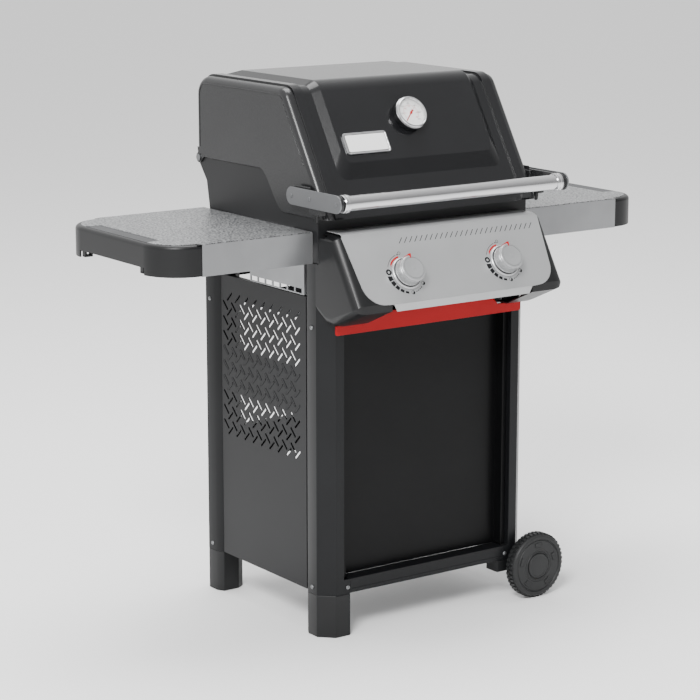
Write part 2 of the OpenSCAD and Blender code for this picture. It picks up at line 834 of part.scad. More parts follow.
// Cast end of the lid: rounded rim, side wall and an ear for the hinge pin
module lid_cap(side) {
    wall = 3;
    ear_r = 11;
    from_cart() color("#3c3d3f") on_side(side) difference() {
        union() {
            difference() {
                hull() {
                    along_x(seam_x, lid_hx - 14) polygon(lid_outline(0));
                    for (p = lid_round) along_x(lid_hx - p[0] - 0.5, lid_hx - p[0]) polygon(lid_outline(p[1]));
                }
                hull() {
                    along_x(seam_x - 1, lid_hx - 15) polygon(lid_outline(wall));
                    along_x(lid_hx - wall - 0.5, lid_hx - wall) polygon(lid_outline(14));
                }
                along_x(seam_x - 2, lid_hx + 1) difference() {
                    translate([-400, 700]) square([800, 700]);
                    lid_region_2d(14);
                }
            }
            along_x(lid_hx - wall, lid_hx) union() {
                translate([pivot_y, pivot_z]) circle(r = ear_r);
                polygon([[196, rim_rear + 2], [pivot_y, pivot_z - ear_r], [pivot_y + 6, lid_rear_z + 4],
                         [200, lid_rear_z + 4]]);
            }
        }
        translate([lid_hx - 20, pivot_y, pivot_z]) rotate([0, 90, 0]) cylinder(r = pin_r + run_gap, h = 40);
        // shallow step around the end panel
        along_x(lid_hx - 1.2, lid_hx + 1) difference() {
            polygon(lid_outline(14));
            polygon(lid_outline(17));
            translate([-400, 600]) square([800, 360]);
        }
    }
}

module lid_cap_left() { lid_cap(-1); }
module lid_cap_right() { lid_cap(1); }

// ---------- handle ----------

grip_x = 258;
bracket_in = 272;
bracket_out = 285;
bracket_h = 36;
bracket_rear = -156;

// Stainless tube with a stepped collar at each end
module handle_tube() {
    from_cart() color("#c8cacc") translate([-bracket_in, tube_y, tube_z]) rotate([0, 90, 0]) difference() {
        union() {
            cylinder(r = tube_r, h = 2 * bracket_in);
            for (x = [0, 2 * bracket_in - 14]) translate([0, 0, x]) cylinder(r = tube_r + 3, h = 14);
        }
        translate([0, 0, 3]) cylinder(r = tube_r - 1.5, h = 2 * bracket_in - 6);
    }
}

// Side arm of the handle: round-ended plate with a boss against the lid end
module handle_bracket(side) {
    r = bracket_h / 2;
    from_cart() color("#b7b9bb") on_side(side) {
        along_x(bracket_in, bracket_out) union() {
            translate([tube_y, tube_z - r]) square([bracket_rear - tube_y, bracket_h]);
            translate([tube_y, tube_z]) circle(r = r);
            translate([bracket_rear, tube_z]) circle(r = r);
        }
        along_x(lid_hx, bracket_in) translate([-222, tube_z - 14]) square([66, 28]);
    }
}

module handle_bracket_left() { handle_bracket(-1); }
module handle_bracket_right() { handle_bracket(1); }

module handle_rivets() {
    from_cart() color("#d5d6d8") for (side = [-1, 1], y = [tube_y, tube_y + 90, bracket_rear]) on_side(side)
        translate([bracket_out, y, tube_z]) rotate([0, 90, 0]) rotate_extrude($fn = 32)
            polygon([[0, 0], [4, 0], [4, 0.6], [2.5, 1.4], [0, 1.4]]);
}

// ---------- thermometer and badge ----------

module thermometer_case() {
    from_cart() color("#d4d6d8") on_lid(0, thermo_s, 0) {
        translate([0, 0, -60]) cylinder(r = 3, h = 60 + emboss);
        translate([0, 0, emboss]) rotate_extrude($fn = 72) polygon([
            [0, 0], [34, 0], [34, 10], [35, 12], [35, 19], [33, 22], [30.5, 22], [30, 14], [1, 14], [1, 17.5],
            [0, 17.5]]);
    }
}

module thermometer_pointer() {
    from_cart() color("#c8262c") on_lid(0, thermo_s, emboss + 15.2) rotate(135) difference() {
        union() {
            cylinder(r = 3, h = 1.2);
            translate([-1, -8, 0]) cube([2, 32, 0.8]);
        }
        translate([0, 0, -1]) cylinder(r = 1 + run_gap, h = 4);
    }
}

module thermometer_lens() {
    from_cart() color([0.85, 0.9, 0.95, 0.4]) on_lid(0, thermo_s, emboss + 18.5) cylinder(r = 30.2, h = 1.6, $fn = 72);
}

module badge_plate() {
    w = 106;
    h = 46;
    r = 5;
    from_cart() color("#d0d2d4") on_lid(-121.5, 81, emboss) linear_extrude(4) polygon(concat(
        arc(w / 2 - r, h / 2 - r, r, 0, 90, 5), arc(r - w / 2, h / 2 - r, r, 90, 180, 5),
        arc(r - w / 2, r - h / 2, r, 180, 270, 5), arc(w / 2 - r, r - h / 2, r, 270, 360, 5)));
}

// ---------- side tables ----------

// Folded steel table top with front and rear skirts that stop at the end cap
module table(side) {
    t = 1.5;
    lip = 9;
    from_cart() color("#a9abad") on_side(side) {
        block([table_in, table_y0 + t, table_z - t], [cap_join, table_y1 - t, table_z]);
        block([cap_join, table_y0 + 45, table_z - t], [steel_x, table_y1 - 45, table_z]);
        for (y = [table_y0, table_y1 - t])
            block([table_in, y, table_z - skirt_h], [cap_join, y + t, table_z]);
        block([table_in, table_y0 + t, table_z - skirt_h], [cap_join, table_y0 + lip, table_z - skirt_h + t]);
        block([table_in, table_y1 - lip, table_z - skirt_h], [cap_join, table_y1 - t, table_z - skirt_h + t]);
        block([table_in, table_y0 + t, table_z - skirt_h + t], [table_in + t, table_y0 + 40, table_z - t]);
        block([table_in, table_y1 - 40, table_z - skirt_h + t], [table_in + t, table_y1 - t, table_z - t]);
    }
}

module table_left() { table(-1); }
module table_right() { table(1); }

// Plan outline of a table end cap, shrunk by i
module cap_plan_2d(i) {
    polygon(concat(
        [[cap_join, table_y0 + i]],
        arc(table_hx - cap_r, table_y0 + cap_r, cap_r - i, 270, 360, 10),
        arc(table_hx - cap_r, table_y1 - cap_r, cap_r - i, 0, 90, 10),
        [[cap_join, table_y1 - i]]));
}

module table_cap_solid(i, top) {
    low = table_z - skirt_h;
    hull() {
        translate([0, 0, low + i]) linear_extrude(skirt_h - 9 - i - top) cap_plan_2d(i);
        translate([0, 0, low + skirt_h - 1 - top]) linear_extrude(1) cap_plan_2d(7 + i * 0.5);
    }
}

// Moulded end of a table, with two tool hooks under its outer edge
module table_cap(side) {
    low = table_z - skirt_h;
    from_cart() color("#3b3d3f") on_side(side) {
        difference() {
            table_cap_solid(0, 0);
            difference() {
                table_cap_solid(3, 3);
                block([steel_x + 4, table_y0 - 10, low + 6], [steel_x + 7, table_y1 + 10, table_z]);
            }
            // open underside, seat of the steel top and the raised middle of the lower edge
            translate([0, 0, low - 1]) linear_extrude(5) cap_plan_2d(3);
            block([cap_join - 1, table_y0 + 45, table_z - 5], [steel_x, table_y1 - 45, table_z + 1]);
            block([cap_join + 30, table_y0 + cap_r, low - 1], [table_hx + 1, table_y1 - cap_r, low + 12]);
        }
        for (y = [table_y0 + cap_r + 8, table_y1 - cap_r - 8]) {
            block([table_hx - 20, y - 6, low + 2], [table_hx - 2, y + 6, low + 6]);
            block([table_hx - 6, y - 6, low + 6], [table_hx - 2, y + 6, low + 18]);
        }
    }
}

module table_cap_left() { table_cap(-1); }
module table_cap_right() { table_cap(1); }

// Vented plates behind the front legs, and the arms that carry the tables off the cookbox
module table_brackets() {
    t = 2;
    x1 = hx - 3;
    y0 = -panel_y;
    y1 = 38;
    vents = 7;
    from_cart() color("#a2a4a6") for (side = [-1, 1]) on_side(side) {
        along_x(x1 - t, x1) difference() {
            translate([y0, 700]) square([y1 - y0, leg_top - 700]);
            for (i = [0:vents - 1]) translate([y0 + 9 + i * 27, 703]) square([22, 9]);
        }
        block([x1 - 20, y0, 702], [x1 - t, y0 + t, leg_top]);
        for (y = [-150, 122])
            block([box_hx, y, 792], [table_in + 120, y + 22, table_z - 1.5]);
    }
}

leg_front_left();
leg_front_right();
leg_rear_left();
leg_rear_right();
foot_front_left();
foot_rear_left();
axle_bracket_front();
axle_bracket_rear();
side_panel_left();
side_panel_right();
front_panel();
front_rail();
rear_rail();
front_top_rail();
rear_top_rail();
cart_screws();
axle();
wheel_front();
wheel_rear();
hub_cap_front();
hub_cap_rear();
cookbox();
manifold();
valve_left();
valve_right();
valve_stem_left();
valve_stem_right();
knob_left();
knob_right();
knob_bezels();
burner_left();
burner_right();
igniters();
heat_bars();
grate_left();
grate_right();
grease_tray();
tray_front();
drip_pan();
tray_runners();
control_fascia();
control_cap_left();
control_cap_right();
lid_shell();
lid_cap_left();
lid_cap_right();
handle_tube();
handle_bracket_left();
handle_bracket_right();
handle_rivets();
thermometer_case();
thermometer_pointer();
thermometer_lens();
badge_plate();
hinge_pins();
table_left();
table_right();
table_cap_left();
table_cap_right();
table_brackets();
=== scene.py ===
import math

import bpy
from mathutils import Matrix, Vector


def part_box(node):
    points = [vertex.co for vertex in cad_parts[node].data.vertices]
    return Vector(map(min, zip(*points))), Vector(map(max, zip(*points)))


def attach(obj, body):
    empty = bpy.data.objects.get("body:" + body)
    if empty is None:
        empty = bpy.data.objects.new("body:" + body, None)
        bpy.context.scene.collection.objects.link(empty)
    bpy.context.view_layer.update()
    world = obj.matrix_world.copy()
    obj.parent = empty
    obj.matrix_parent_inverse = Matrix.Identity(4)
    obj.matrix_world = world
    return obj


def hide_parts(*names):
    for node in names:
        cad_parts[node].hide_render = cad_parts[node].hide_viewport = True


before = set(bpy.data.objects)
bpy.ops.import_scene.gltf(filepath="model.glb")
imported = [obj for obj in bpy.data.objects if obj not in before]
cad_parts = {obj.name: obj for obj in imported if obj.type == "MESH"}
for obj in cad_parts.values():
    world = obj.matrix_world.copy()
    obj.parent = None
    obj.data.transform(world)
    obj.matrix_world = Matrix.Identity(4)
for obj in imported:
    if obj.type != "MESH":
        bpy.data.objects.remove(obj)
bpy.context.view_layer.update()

mm = 0.001
legFront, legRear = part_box("foot_front_left"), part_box("foot_rear_left")
cartY = (legFront[0].y + legRear[1].y) / 2          # the cart's centre, behind the origin
sides = {"left": -1, "right": 1}
sideNames = {-1: "left", 1: "right"}

# The camera stands at the front left, a little above the lid
viewpoint = {"place": (-2.8403, -3.9677, 1.5718), "turn": 35.28, "dip": 12.06, "lens": 121.09}
bpy.ops.object.camera_add(
    location=Vector(viewpoint["place"]) + Vector((0, cartY, 0)),
    rotation=(math.radians(90 - viewpoint["dip"]), 0, -math.radians(viewpoint["turn"])))
camera = bpy.context.object
camera.data.lens = viewpoint["lens"]
camera.data.sensor_width = 36
bpy.context.scene.camera = camera
print("camera ready")


# Small tools used by every piece

def deselect():
    if bpy.context.object and bpy.context.object.mode != "OBJECT":
        bpy.ops.object.mode_set(mode="OBJECT")
    bpy.ops.object.select_all(action="DESELECT")


def activate(piece):
    deselect()
    piece.select_set(True)
    bpy.context.view_layer.objects.active = piece
    return piece


def editFaces(piece, test):
    # Opens edit mode with the faces picked whose centre and normal pass the test
    activate(piece)
    for item in list(piece.data.vertices) + list(piece.data.edges):
        item.select = False
    for face in piece.data.polygons:
        face.select = bool(test(face.center, face.normal))
    bpy.context.tool_settings.mesh_select_mode = (False, False, True)
    bpy.ops.object.mode_set(mode="EDIT")


def editAll(piece, kind="VERT"):
    activate(piece)
    bpy.ops.object.mode_set(mode="EDIT")
    bpy.ops.mesh.select_mode(type=kind)
    bpy.ops.mesh.select_all(action="SELECT")


def push(offset):
    bpy.ops.mesh.extrude_region_move(TRANSFORM_OT_translate={"value": tuple(offset)})


def soften(piece, width, segments=2, angle=35):
    # Rounds the sharp edges and applies the result
    activate(piece)
    bevel = piece.modifiers.new("edges", "BEVEL")
    bevel.width = width
    bevel.segments = segments
    bevel.limit_method = "ANGLE"
    bevel.angle_limit = math.radians(angle)
    bpy.ops.object.modifier_apply(modifier=bevel.name)
    return piece


def smooth(piece, angle=38):
    # Smooth shading with the large flat faces kept flat
    activate(piece)
    bpy.ops.object.shade_smooth_by_angle(angle=math.radians(angle))
    weighted = piece.modifiers.new("normals", "WEIGHTED_NORMAL")
    weighted.keep_sharp = True
    bpy.ops.object.modifier_apply(modifier=weighted.name)
    return piece


def freeze(piece):
    activate(piece)
    bpy.ops.object.transform_apply(location=True, rotation=True, scale=True)
    return piece


def settle(piece, name, body, slotName, material, *nodes):
    # Fixes a finished piece in place, gives it its finish and ties it to its body and CAD nodes
    freeze(piece)
    piece.name = name
    piece.data.name = name
    piece.data.materials.clear()
    piece.data.materials.append(material)
    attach(piece, body)
    if nodes:
        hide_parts(*nodes)
    return piece


def join(pieces):
    activate(pieces[0])
    for piece in pieces:
        piece.select_set(True)
    if len(pieces) > 1:
        bpy.ops.object.join()
    return bpy.context.object


def duplicate(piece):
    activate(piece)
    bpy.ops.object.duplicate()
    return bpy.context.object


def arcPoints(cx, cy, r, start, end, steps):
    turn = [math.radians(start + (end - start) * i / steps) for i in range(steps + 1)]
    return [(cx + r * math.cos(a), cy + r * math.sin(a)) for a in turn]


def strand(points):
    # An open line of vertices, grown one extrusion at a time and left in edit mode
    deselect()
    bpy.ops.mesh.primitive_plane_add(size=1 * mm)
    line = bpy.context.object
    editAll(line)
    bpy.ops.mesh.merge(type="CENTER")
    bpy.ops.transform.translate(value=points[0])
    for last, point in zip(points, points[1:]):
        push(Vector(point) - Vector(last))
    bpy.ops.mesh.select_all(action="SELECT")
    return line


def lathe(profile, steps=64):
    # Spins a profile of (radius, height) points about the Z axis
    turned = strand([(r, 0, h) for r, h in profile])
    bpy.ops.mesh.spin(steps=steps, angle=2 * math.pi, center=(0, 0, 0), axis=(0, 0, 1))
    bpy.ops.mesh.select_all(action="SELECT")
    bpy.ops.mesh.remove_doubles(threshold=0.01 * mm)
    bpy.ops.mesh.normals_make_consistent(inside=False)
    bpy.ops.object.mode_set(mode="OBJECT")
    return turned


def plate(outline, depth):
    # A flat outline in X and Y, extruded upwards
    slab = strand([(x, y, 0) for x, y in outline])
    bpy.ops.mesh.edge_face_add()
    push((0, 0, depth))
    bpy.ops.mesh.select_all(action="SELECT")
    bpy.ops.mesh.normals_make_consistent(inside=False)
    bpy.ops.object.mode_set(mode="OBJECT")
    return slab


def block(low, high):
    deselect()
    size = [b - a for a, b in zip(low, high)]
    centre = [(a + b) / 2 for a, b in zip(low, high)]
    bpy.ops.mesh.primitive_cube_add(size=1, location=centre, scale=size)
    return freeze(bpy.context.object)


def stadium(length, width, depth, steps=5):
    half = (length - width) / 2
    r = width / 2
    outline = arcPoints(half, 0, r, -90, 90, steps) + arcPoints(-half, 0, r, 90, 270, steps)
    return plate(outline, depth)


def mirrored(piece):
    # The same shape on the other side of X = 0, with its faces turned back outwards
    twin = duplicate(piece)
    editAll(twin)
    bpy.ops.transform.resize(value=(-1, 1, 1), center_override=(0, 0, 0))
    bpy.ops.mesh.flip_normals()
    bpy.ops.object.mode_set(mode="OBJECT")
    return twin


def toSide(piece, side):
    # Pieces are made for the right; the left one takes the mirrored copy instead
    if side > 0:
        return piece
    twin = mirrored(piece)
    bpy.data.objects.remove(piece)
    return twin


def cleanCopy(node):
    # A merged copy of a CAD node, with flat faces in one piece again
    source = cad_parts[node]
    piece = bpy.data.objects.new(node + "Copy", source.data.copy())
    bpy.context.scene.collection.objects.link(piece)
    editAll(piece)
    bpy.ops.mesh.remove_doubles(threshold=0.01 * mm)
    bpy.ops.mesh.customdata_custom_splitnormals_clear()
    bpy.ops.mesh.dissolve_limited(angle_limit=math.radians(0.4))
    bpy.ops.object.mode_set(mode="OBJECT")
    return piece


# Finishes

def blankMaterial(name, color, roughness, metallic=0.0, coat=0.0, coatRoughness=0.1, specular=0.5):
    material = bpy.data.materials.new(name)
    material.use_nodes = True
    shader = material.node_tree.nodes["Principled BSDF"]
    shader.inputs["Base Color"].default_value = (*color, 1)
    shader.inputs["Roughness"].default_value = roughness
    shader.inputs["Metallic"].default_value = metallic
    shader.inputs["Coat Weight"].default_value = coat
    shader.inputs["Coat Roughness"].default_value = coatRoughness
    shader.inputs["Specular IOR Level"].default_value = specular
    return material, material.node_tree, shader


def noiseOn(tree, scale, detail=3, stretch=(1, 1, 1)):
    nodes, links = tree.nodes, tree.links
    place = nodes.new("ShaderNodeTexCoord")
    mapping = nodes.new("ShaderNodeMapping")
    mapping.inputs["Scale"].default_value = stretch
    noise = nodes.new("ShaderNodeTexNoise")
    noise.inputs["Scale"].default_value = scale
    noise.inputs["Detail"].default_value = detail
    links.new(place.outputs["Object"], mapping.inputs["Vector"])
    links.new(mapping.outputs["Vector"], noise.inputs["Vector"])
    return noise.outputs["Fac"]


def ramp(tree, value, low, high, start=0.35, end=0.65):
    node = tree.nodes.new("ShaderNodeValToRGB")
    node.color_ramp.elements[0].position = start
    node.color_ramp.elements[1].position = end
    node.color_ramp.elements[0].color = (*low, 1)
    node.color_ramp.elements[1].color = (*high, 1)
    tree.links.new(value, node.inputs["Fac"])
    return node.outputs["Color"]


def spread(tree, value, low, high):
    node = tree.nodes.new("ShaderNodeMapRange")
    node.inputs["To Min"].default_value = low
    node.inputs["To Max"].default_value = high
    tree.links.new(value, node.inputs["Value"])
    return node.outputs["Result"]


def bumped(tree, shader, height, strength, distance):
    bump = tree.nodes.new("ShaderNodeBump")
    bump.inputs["Strength"].default_value = strength
    bump.inputs["Distance"].default_value = distance
    tree.links.new(height, bump.inputs["Height"])
    tree.links.new(bump.outputs["Normal"], shader.inputs["Normal"])


def coated(name, color, roughness, grain, depth, shift=0.12, metallic=0.0, coat=0.0,
           coatRoughness=0.1, specular=0.5):
    # Paint or moulded plastic: slow tone drift, a fine grain in the bump and uneven gloss
    material, tree, shader = blankMaterial(name, color, roughness, metallic, coat, coatRoughness,
                                           specular)
    drift = noiseOn(tree, 7)
    low = [c * (1 - shift) for c in color]
    high = [min(1, c * (1 + shift)) for c in color]
    tree.links.new(ramp(tree, drift, low, high), shader.inputs["Base Color"])
    fine = noiseOn(tree, grain, 2)
    gloss = spread(tree, fine, roughness - 0.05, roughness + 0.05)
    tree.links.new(gloss, shader.inputs["Roughness"])
    bumped(tree, shader, fine, 0.5, depth)
    return material


def brushed(name, color, roughness, stretch, depth=0.02 * mm, shift=0.1):
    # Metal with fine lines along one axis
    material, tree, shader = blankMaterial(name, color, roughness, 1.0)
    lines = noiseOn(tree, 60, 4, stretch)
    low = [c * (1 - shift) for c in color]
    tree.links.new(ramp(tree, lines, low, color), shader.inputs["Base Color"])
    gloss = spread(tree, lines, roughness - 0.06, roughness + 0.08)
    tree.links.new(gloss, shader.inputs["Roughness"])
    bumped(tree, shader, lines, 0.35, depth)
    return material


def hammertone(name, dark, light):
    # Metallic paint with a fine pebbled grain
    material, tree, shader = blankMaterial(name, light, 0.42, 0.6)
    fine = noiseOn(tree, 230, 4)
    tree.links.new(ramp(tree, fine, dark, light, 0.38, 0.6), shader.inputs["Base Color"])
    tree.links.new(spread(tree, fine, 0.32, 0.5), shader.inputs["Roughness"])
    bumped(tree, shader, fine, 0.9, 0.4 * mm)
    return material


def castIron(name, color):
    material, tree, shader = blankMaterial(name, color, 0.5, 0.0, 0.25, 0.3)
    pits = noiseOn(tree, 260, 5)
    tree.links.new(ramp(tree, pits, color, [c * 1.8 for c in color]), shader.inputs["Base Color"])
    bumped(tree, shader, pits, 0.7, 0.3 * mm)
    return material


def clearGlass(name):
    material, tree, shader = blankMaterial(name, (1, 1, 1), 0.04)
    shader.inputs["Transmission Weight"].default_value = 1.0
    shader.inputs["IOR"].default_value = 1.2
    shader.inputs["Alpha"].default_value = 0.25
    film = noiseOn(tree, 20)
    tree.links.new(spread(tree, film, 0.02, 0.06), shader.inputs["Roughness"])
    return material


finishes = {
    "cartSteel": coated("cartSteel", (0.0052, 0.0055, 0.0062), 0.36, 900, 0.05 * mm, specular=0.2),
    "blackSteel": coated("blackSteel", (0.003, 0.0031, 0.0034), 0.36, 900, 0.04 * mm,
                         specular=0.13),
    "capPlastic": coated("capPlastic", (0.0065, 0.0067, 0.0072), 0.38, 1400, 0.05 * mm,
                         specular=0.3),
    "grainPlastic": coated("grainPlastic", (0.035, 0.036, 0.038), 0.6, 600, 0.25 * mm, 0.35),
    "wheelPlastic": coated("wheelPlastic", (0.012, 0.0125, 0.013), 0.5, 1100, 0.06 * mm,
                           specular=0.35),
    "knobPlastic": coated("knobPlastic", (0.36, 0.365, 0.37), 0.32, 1200, 0.02 * mm, 0.05, 0.45),
    "lidEnamel": coated("lidEnamel", (0.008, 0.0082, 0.009), 0.22, 260, 0.02 * mm, 0.08, 0.0,
                        coat=0.18, coatRoughness=0.08, specular=0.28),
    "lidCasting": coated("lidCasting", (0.012, 0.0122, 0.013), 0.28, 700, 0.04 * mm, 0.1, 0.0,
                         coat=0.15, coatRoughness=0.2, specular=0.38),
    "casting": coated("casting", (0.009, 0.0092, 0.010), 0.42, 500, 0.12 * mm, specular=0.28),
    "fasciaSteel": coated("fasciaSteel", (0.44, 0.445, 0.45), 0.34, 1500, 0.02 * mm, 0.04, 0.6),
    "redPaint": coated("redPaint", (0.36, 0.0008, 0.003), 0.4, 800, 0.03 * mm, 0.06, specular=0.2),
    "redPrint": coated("redPrint", (0.42, 0.001, 0.003), 0.45, 900, 0.01 * mm, 0.05, specular=0.2),
    "darkPrint": coated("darkPrint", (0.006, 0.006, 0.007), 0.55, 900, 0.01 * mm, specular=0.2),
    "dialWhite": coated("dialWhite", (0.82, 0.82, 0.81), 0.4, 900, 0.01 * mm, 0.03),
    "bracketMetal": coated("bracketMetal", (0.17, 0.173, 0.178), 0.34, 1200, 0.03 * mm, 0.06, 0.7),
    "tableSteel": hammertone("tableSteel", (0.05, 0.052, 0.055), (0.34, 0.345, 0.35)),
    "skirtSteel": coated("skirtSteel", (0.27, 0.274, 0.28), 0.34, 330, 0.14 * mm, 0.1, 0.75),
    "handleSteel": brushed("handleSteel", (0.66, 0.66, 0.67), 0.16, (0.6, 30, 30)),
    "bezelMetal": brushed("bezelMetal", (0.7, 0.7, 0.71), 0.2, (20, 20, 20)),
    "zinc": brushed("zinc", (0.22, 0.225, 0.23), 0.38, (12, 12, 12)),
    "badgeMetal": brushed("badgeMetal", (0.66, 0.66, 0.67), 0.26, (0.8, 40, 40)),
    "traySteel": brushed("traySteel", (0.42, 0.43, 0.44), 0.42, (1, 24, 24)),
    "burnerSteel": brushed("burnerSteel", (0.5, 0.47, 0.43), 0.4, (20, 1, 20), shift=0.3),
    "foil": brushed("foil", (0.8, 0.8, 0.81), 0.26, (6, 6, 6), 0.3 * mm),
    "brass": brushed("brass", (0.66, 0.47, 0.2), 0.32, (14, 14, 14)),
    "ceramic": coated("ceramic", (0.75, 0.73, 0.67), 0.25, 300, 0.02 * mm, 0.05),
    "grateIron": castIron("grateIron", (0.012, 0.012, 0.013)),
    "barEnamel": coated("barEnamel", (0.02, 0.02, 0.022), 0.35, 400, 0.06 * mm, 0.2, 0.0, 0.3),
    "lens": clearGlass("lensGlass"),
}
print("finishes ready")

# CAD nodes that keep their own shape only need a finish
keptNodes = {
    "side_panel_left": "cartSteel", "side_panel_right": "cartSteel", "rear_rail": "blackSteel",
    "front_top_rail": "cartSteel", "rear_top_rail": "cartSteel", "axle": "zinc", "manifold": "zinc",
    "valve_left": "brass", "valve_right": "brass", "valve_stem_left": "brass",
    "valve_stem_right": "brass", "burner_left": "burnerSteel", "burner_right": "burnerSteel",
    "igniters": "ceramic", "heat_bars": "barEnamel", "tray_runners": "traySteel",
    "hinge_pins": "zinc",
}
for node, finish in keptNodes.items():
    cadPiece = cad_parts[node]
    cadPiece.data.materials.clear()
    cadPiece.data.materials.append(finishes[finish])
print("kept nodes finished")


# Local frames on the two sloping faces: x across, y up the slope, z outwards
fasciaFace = {"lean": 58.7, "foot": (-0.3494 + cartY, 0.702)}
lidFace = {"lean": 58.5, "foot": (-0.214 + cartY, 0.922)}


def pointOn(face, x, s, off):
    lean = math.radians(face["lean"])
    up = Vector((0, math.cos(lean), math.sin(lean)))
    out = Vector((0, -math.sin(lean), math.cos(lean)))
    return Vector((x, *face["foot"])) + up * s + out * off


def placeOn(face, piece, x, s, off=0.0, turn=0.0):
    # Turns the piece about its own Z axis, then lays it on the sloping face
    activate(piece)
    piece.rotation_euler = (0, 0, math.radians(turn))
    freeze(piece)
    piece.rotation_euler = (math.radians(face["lean"]), 0, 0)
    piece.location = pointOn(face, x, s, off)
    return freeze(piece)


# Lower corners of the lid's raised panel, from the foot of its wall to the panel's face
panelCorner = {"baseX": 0.204, "topX": 0.187, "baseSlope": 0.010, "topSlope": 0.042,
               "rise": 0.010, "radius": 0.016, "reach": 0.0006}


def roundPanelCorners(shell):
    v = panelCorner
    corners = []
    for side in (-1, 1):
        low = pointOn(lidFace, side * v["baseX"], v["baseSlope"], 0)
        corners.append((low, pointOn(lidFace, side * v["topX"], v["topSlope"], v["rise"])))

    def onCorner(point, low, high):
        span = high - low
        along = max(0, min(1, (point - low).dot(span) / span.length_squared))
        return (point - low - span * along).length < v["reach"]

    activate(shell)
    points = shell.data.vertices
    for item in list(points) + list(shell.data.edges) + list(shell.data.polygons):
        item.select = False
    for edge in shell.data.edges:
        ends = [points[i] for i in edge.vertices]
        for low, high in corners:
            if all(onCorner(end.co, low, high) for end in ends):
                edge.select = True
                for end in ends:
                    end.select = True
    bpy.context.tool_settings.mesh_select_mode = (False, True, False)
    bpy.ops.object.mode_set(mode="EDIT")
    bpy.ops.mesh.bevel(offset=v["radius"], segments=6, affect="EDGES")
    bpy.ops.object.mode_set(mode="OBJECT")


# Folded, cast and moulded pieces: the CAD shape with its edges rounded as the real ones are
edgedPieces = [
    # node, body, record slot, finish, edge radius in millimetres, rounding steps
    ("leg_front_left", "grill", "cart_steel", "cartSteel", 1.6, 3),
    ("leg_front_right", "grill", "cart_steel", "cartSteel", 1.6, 3),
    ("leg_rear_left", "grill", "cart_steel", "cartSteel", 1.6, 3),
    ("leg_rear_right", "grill", "cart_steel", "cartSteel", 1.6, 3),
    ("foot_front_left", "grill", "cap_plastic", "capPlastic", 1.6, 3),
    ("foot_rear_left", "grill", "cap_plastic", "capPlastic", 1.6, 3),
    ("axle_bracket_front", "grill", "cap_plastic", "capPlastic", 1.5, 2),
    ("axle_bracket_rear", "grill", "cap_plastic", "capPlastic", 1.5, 2),
    ("front_panel", "grill", "black_steel", "blackSteel", 0.5, 2),
    ("front_rail", "grill", "cart_steel", "cartSteel", 0.6, 2),
    ("cookbox", "grill", "casting", "casting", 1.2, 2),
    ("grate_left", "grill", "grate_iron", "grateIron", 1.2, 2),
    ("grate_right", "grill", "grate_iron", "grateIron", 1.2, 2),
    ("table_brackets", "grill", "table_steel", "skirtSteel", 0.5, 2),
    ("control_fascia", "grill", "fascia_steel", "fasciaSteel", 0.5, 2),
    ("control_cap_left", "grill", "cap_plastic", "capPlastic", 2.2, 3),
    ("control_cap_right", "grill", "cap_plastic", "capPlastic", 2.2, 3),
    ("lid_shell", "lid", "lid_enamel", "lidEnamel", 1.0, 3),
    ("lid_cap_left", "lid", "lid_casting", "lidCasting", 0.8, 3),
    ("lid_cap_right", "lid", "lid_casting", "lidCasting", 0.8, 3),
    ("grease_tray", "tray", "tray_steel", "traySteel", 0.5, 2),
    ("tray_front", "tray", "red_paint", "redPaint", 0.8, 2),
    ("drip_pan", "tray", "foil", "foil", 0.3, 2),
]
for node, body, slotName, finish, radius, steps in edgedPieces:
    edged = cleanCopy(node)
    creaseAngle = 32
    if node == "lid_shell":
        roundPanelCorners(edged)
        creaseAngle = 14        # the panel's wall rises gently from the lid
    soften(edged, radius * mm, steps, creaseAngle - 1)
    settle(smooth(edged, creaseAngle), node + "Edged", body, slotName, finishes[finish], node)
print("edged pieces ready")


# Control knobs, their rings and the printed dials
knobValues = {"x": 0.123, "slope": 0.060, "radius": 0.028, "height": 0.030, "start": 0.0065}


def placeAtKnob(piece, side, off=0.0):
    return placeOn(fasciaFace, piece, side * knobValues["x"], knobValues["slope"], off)


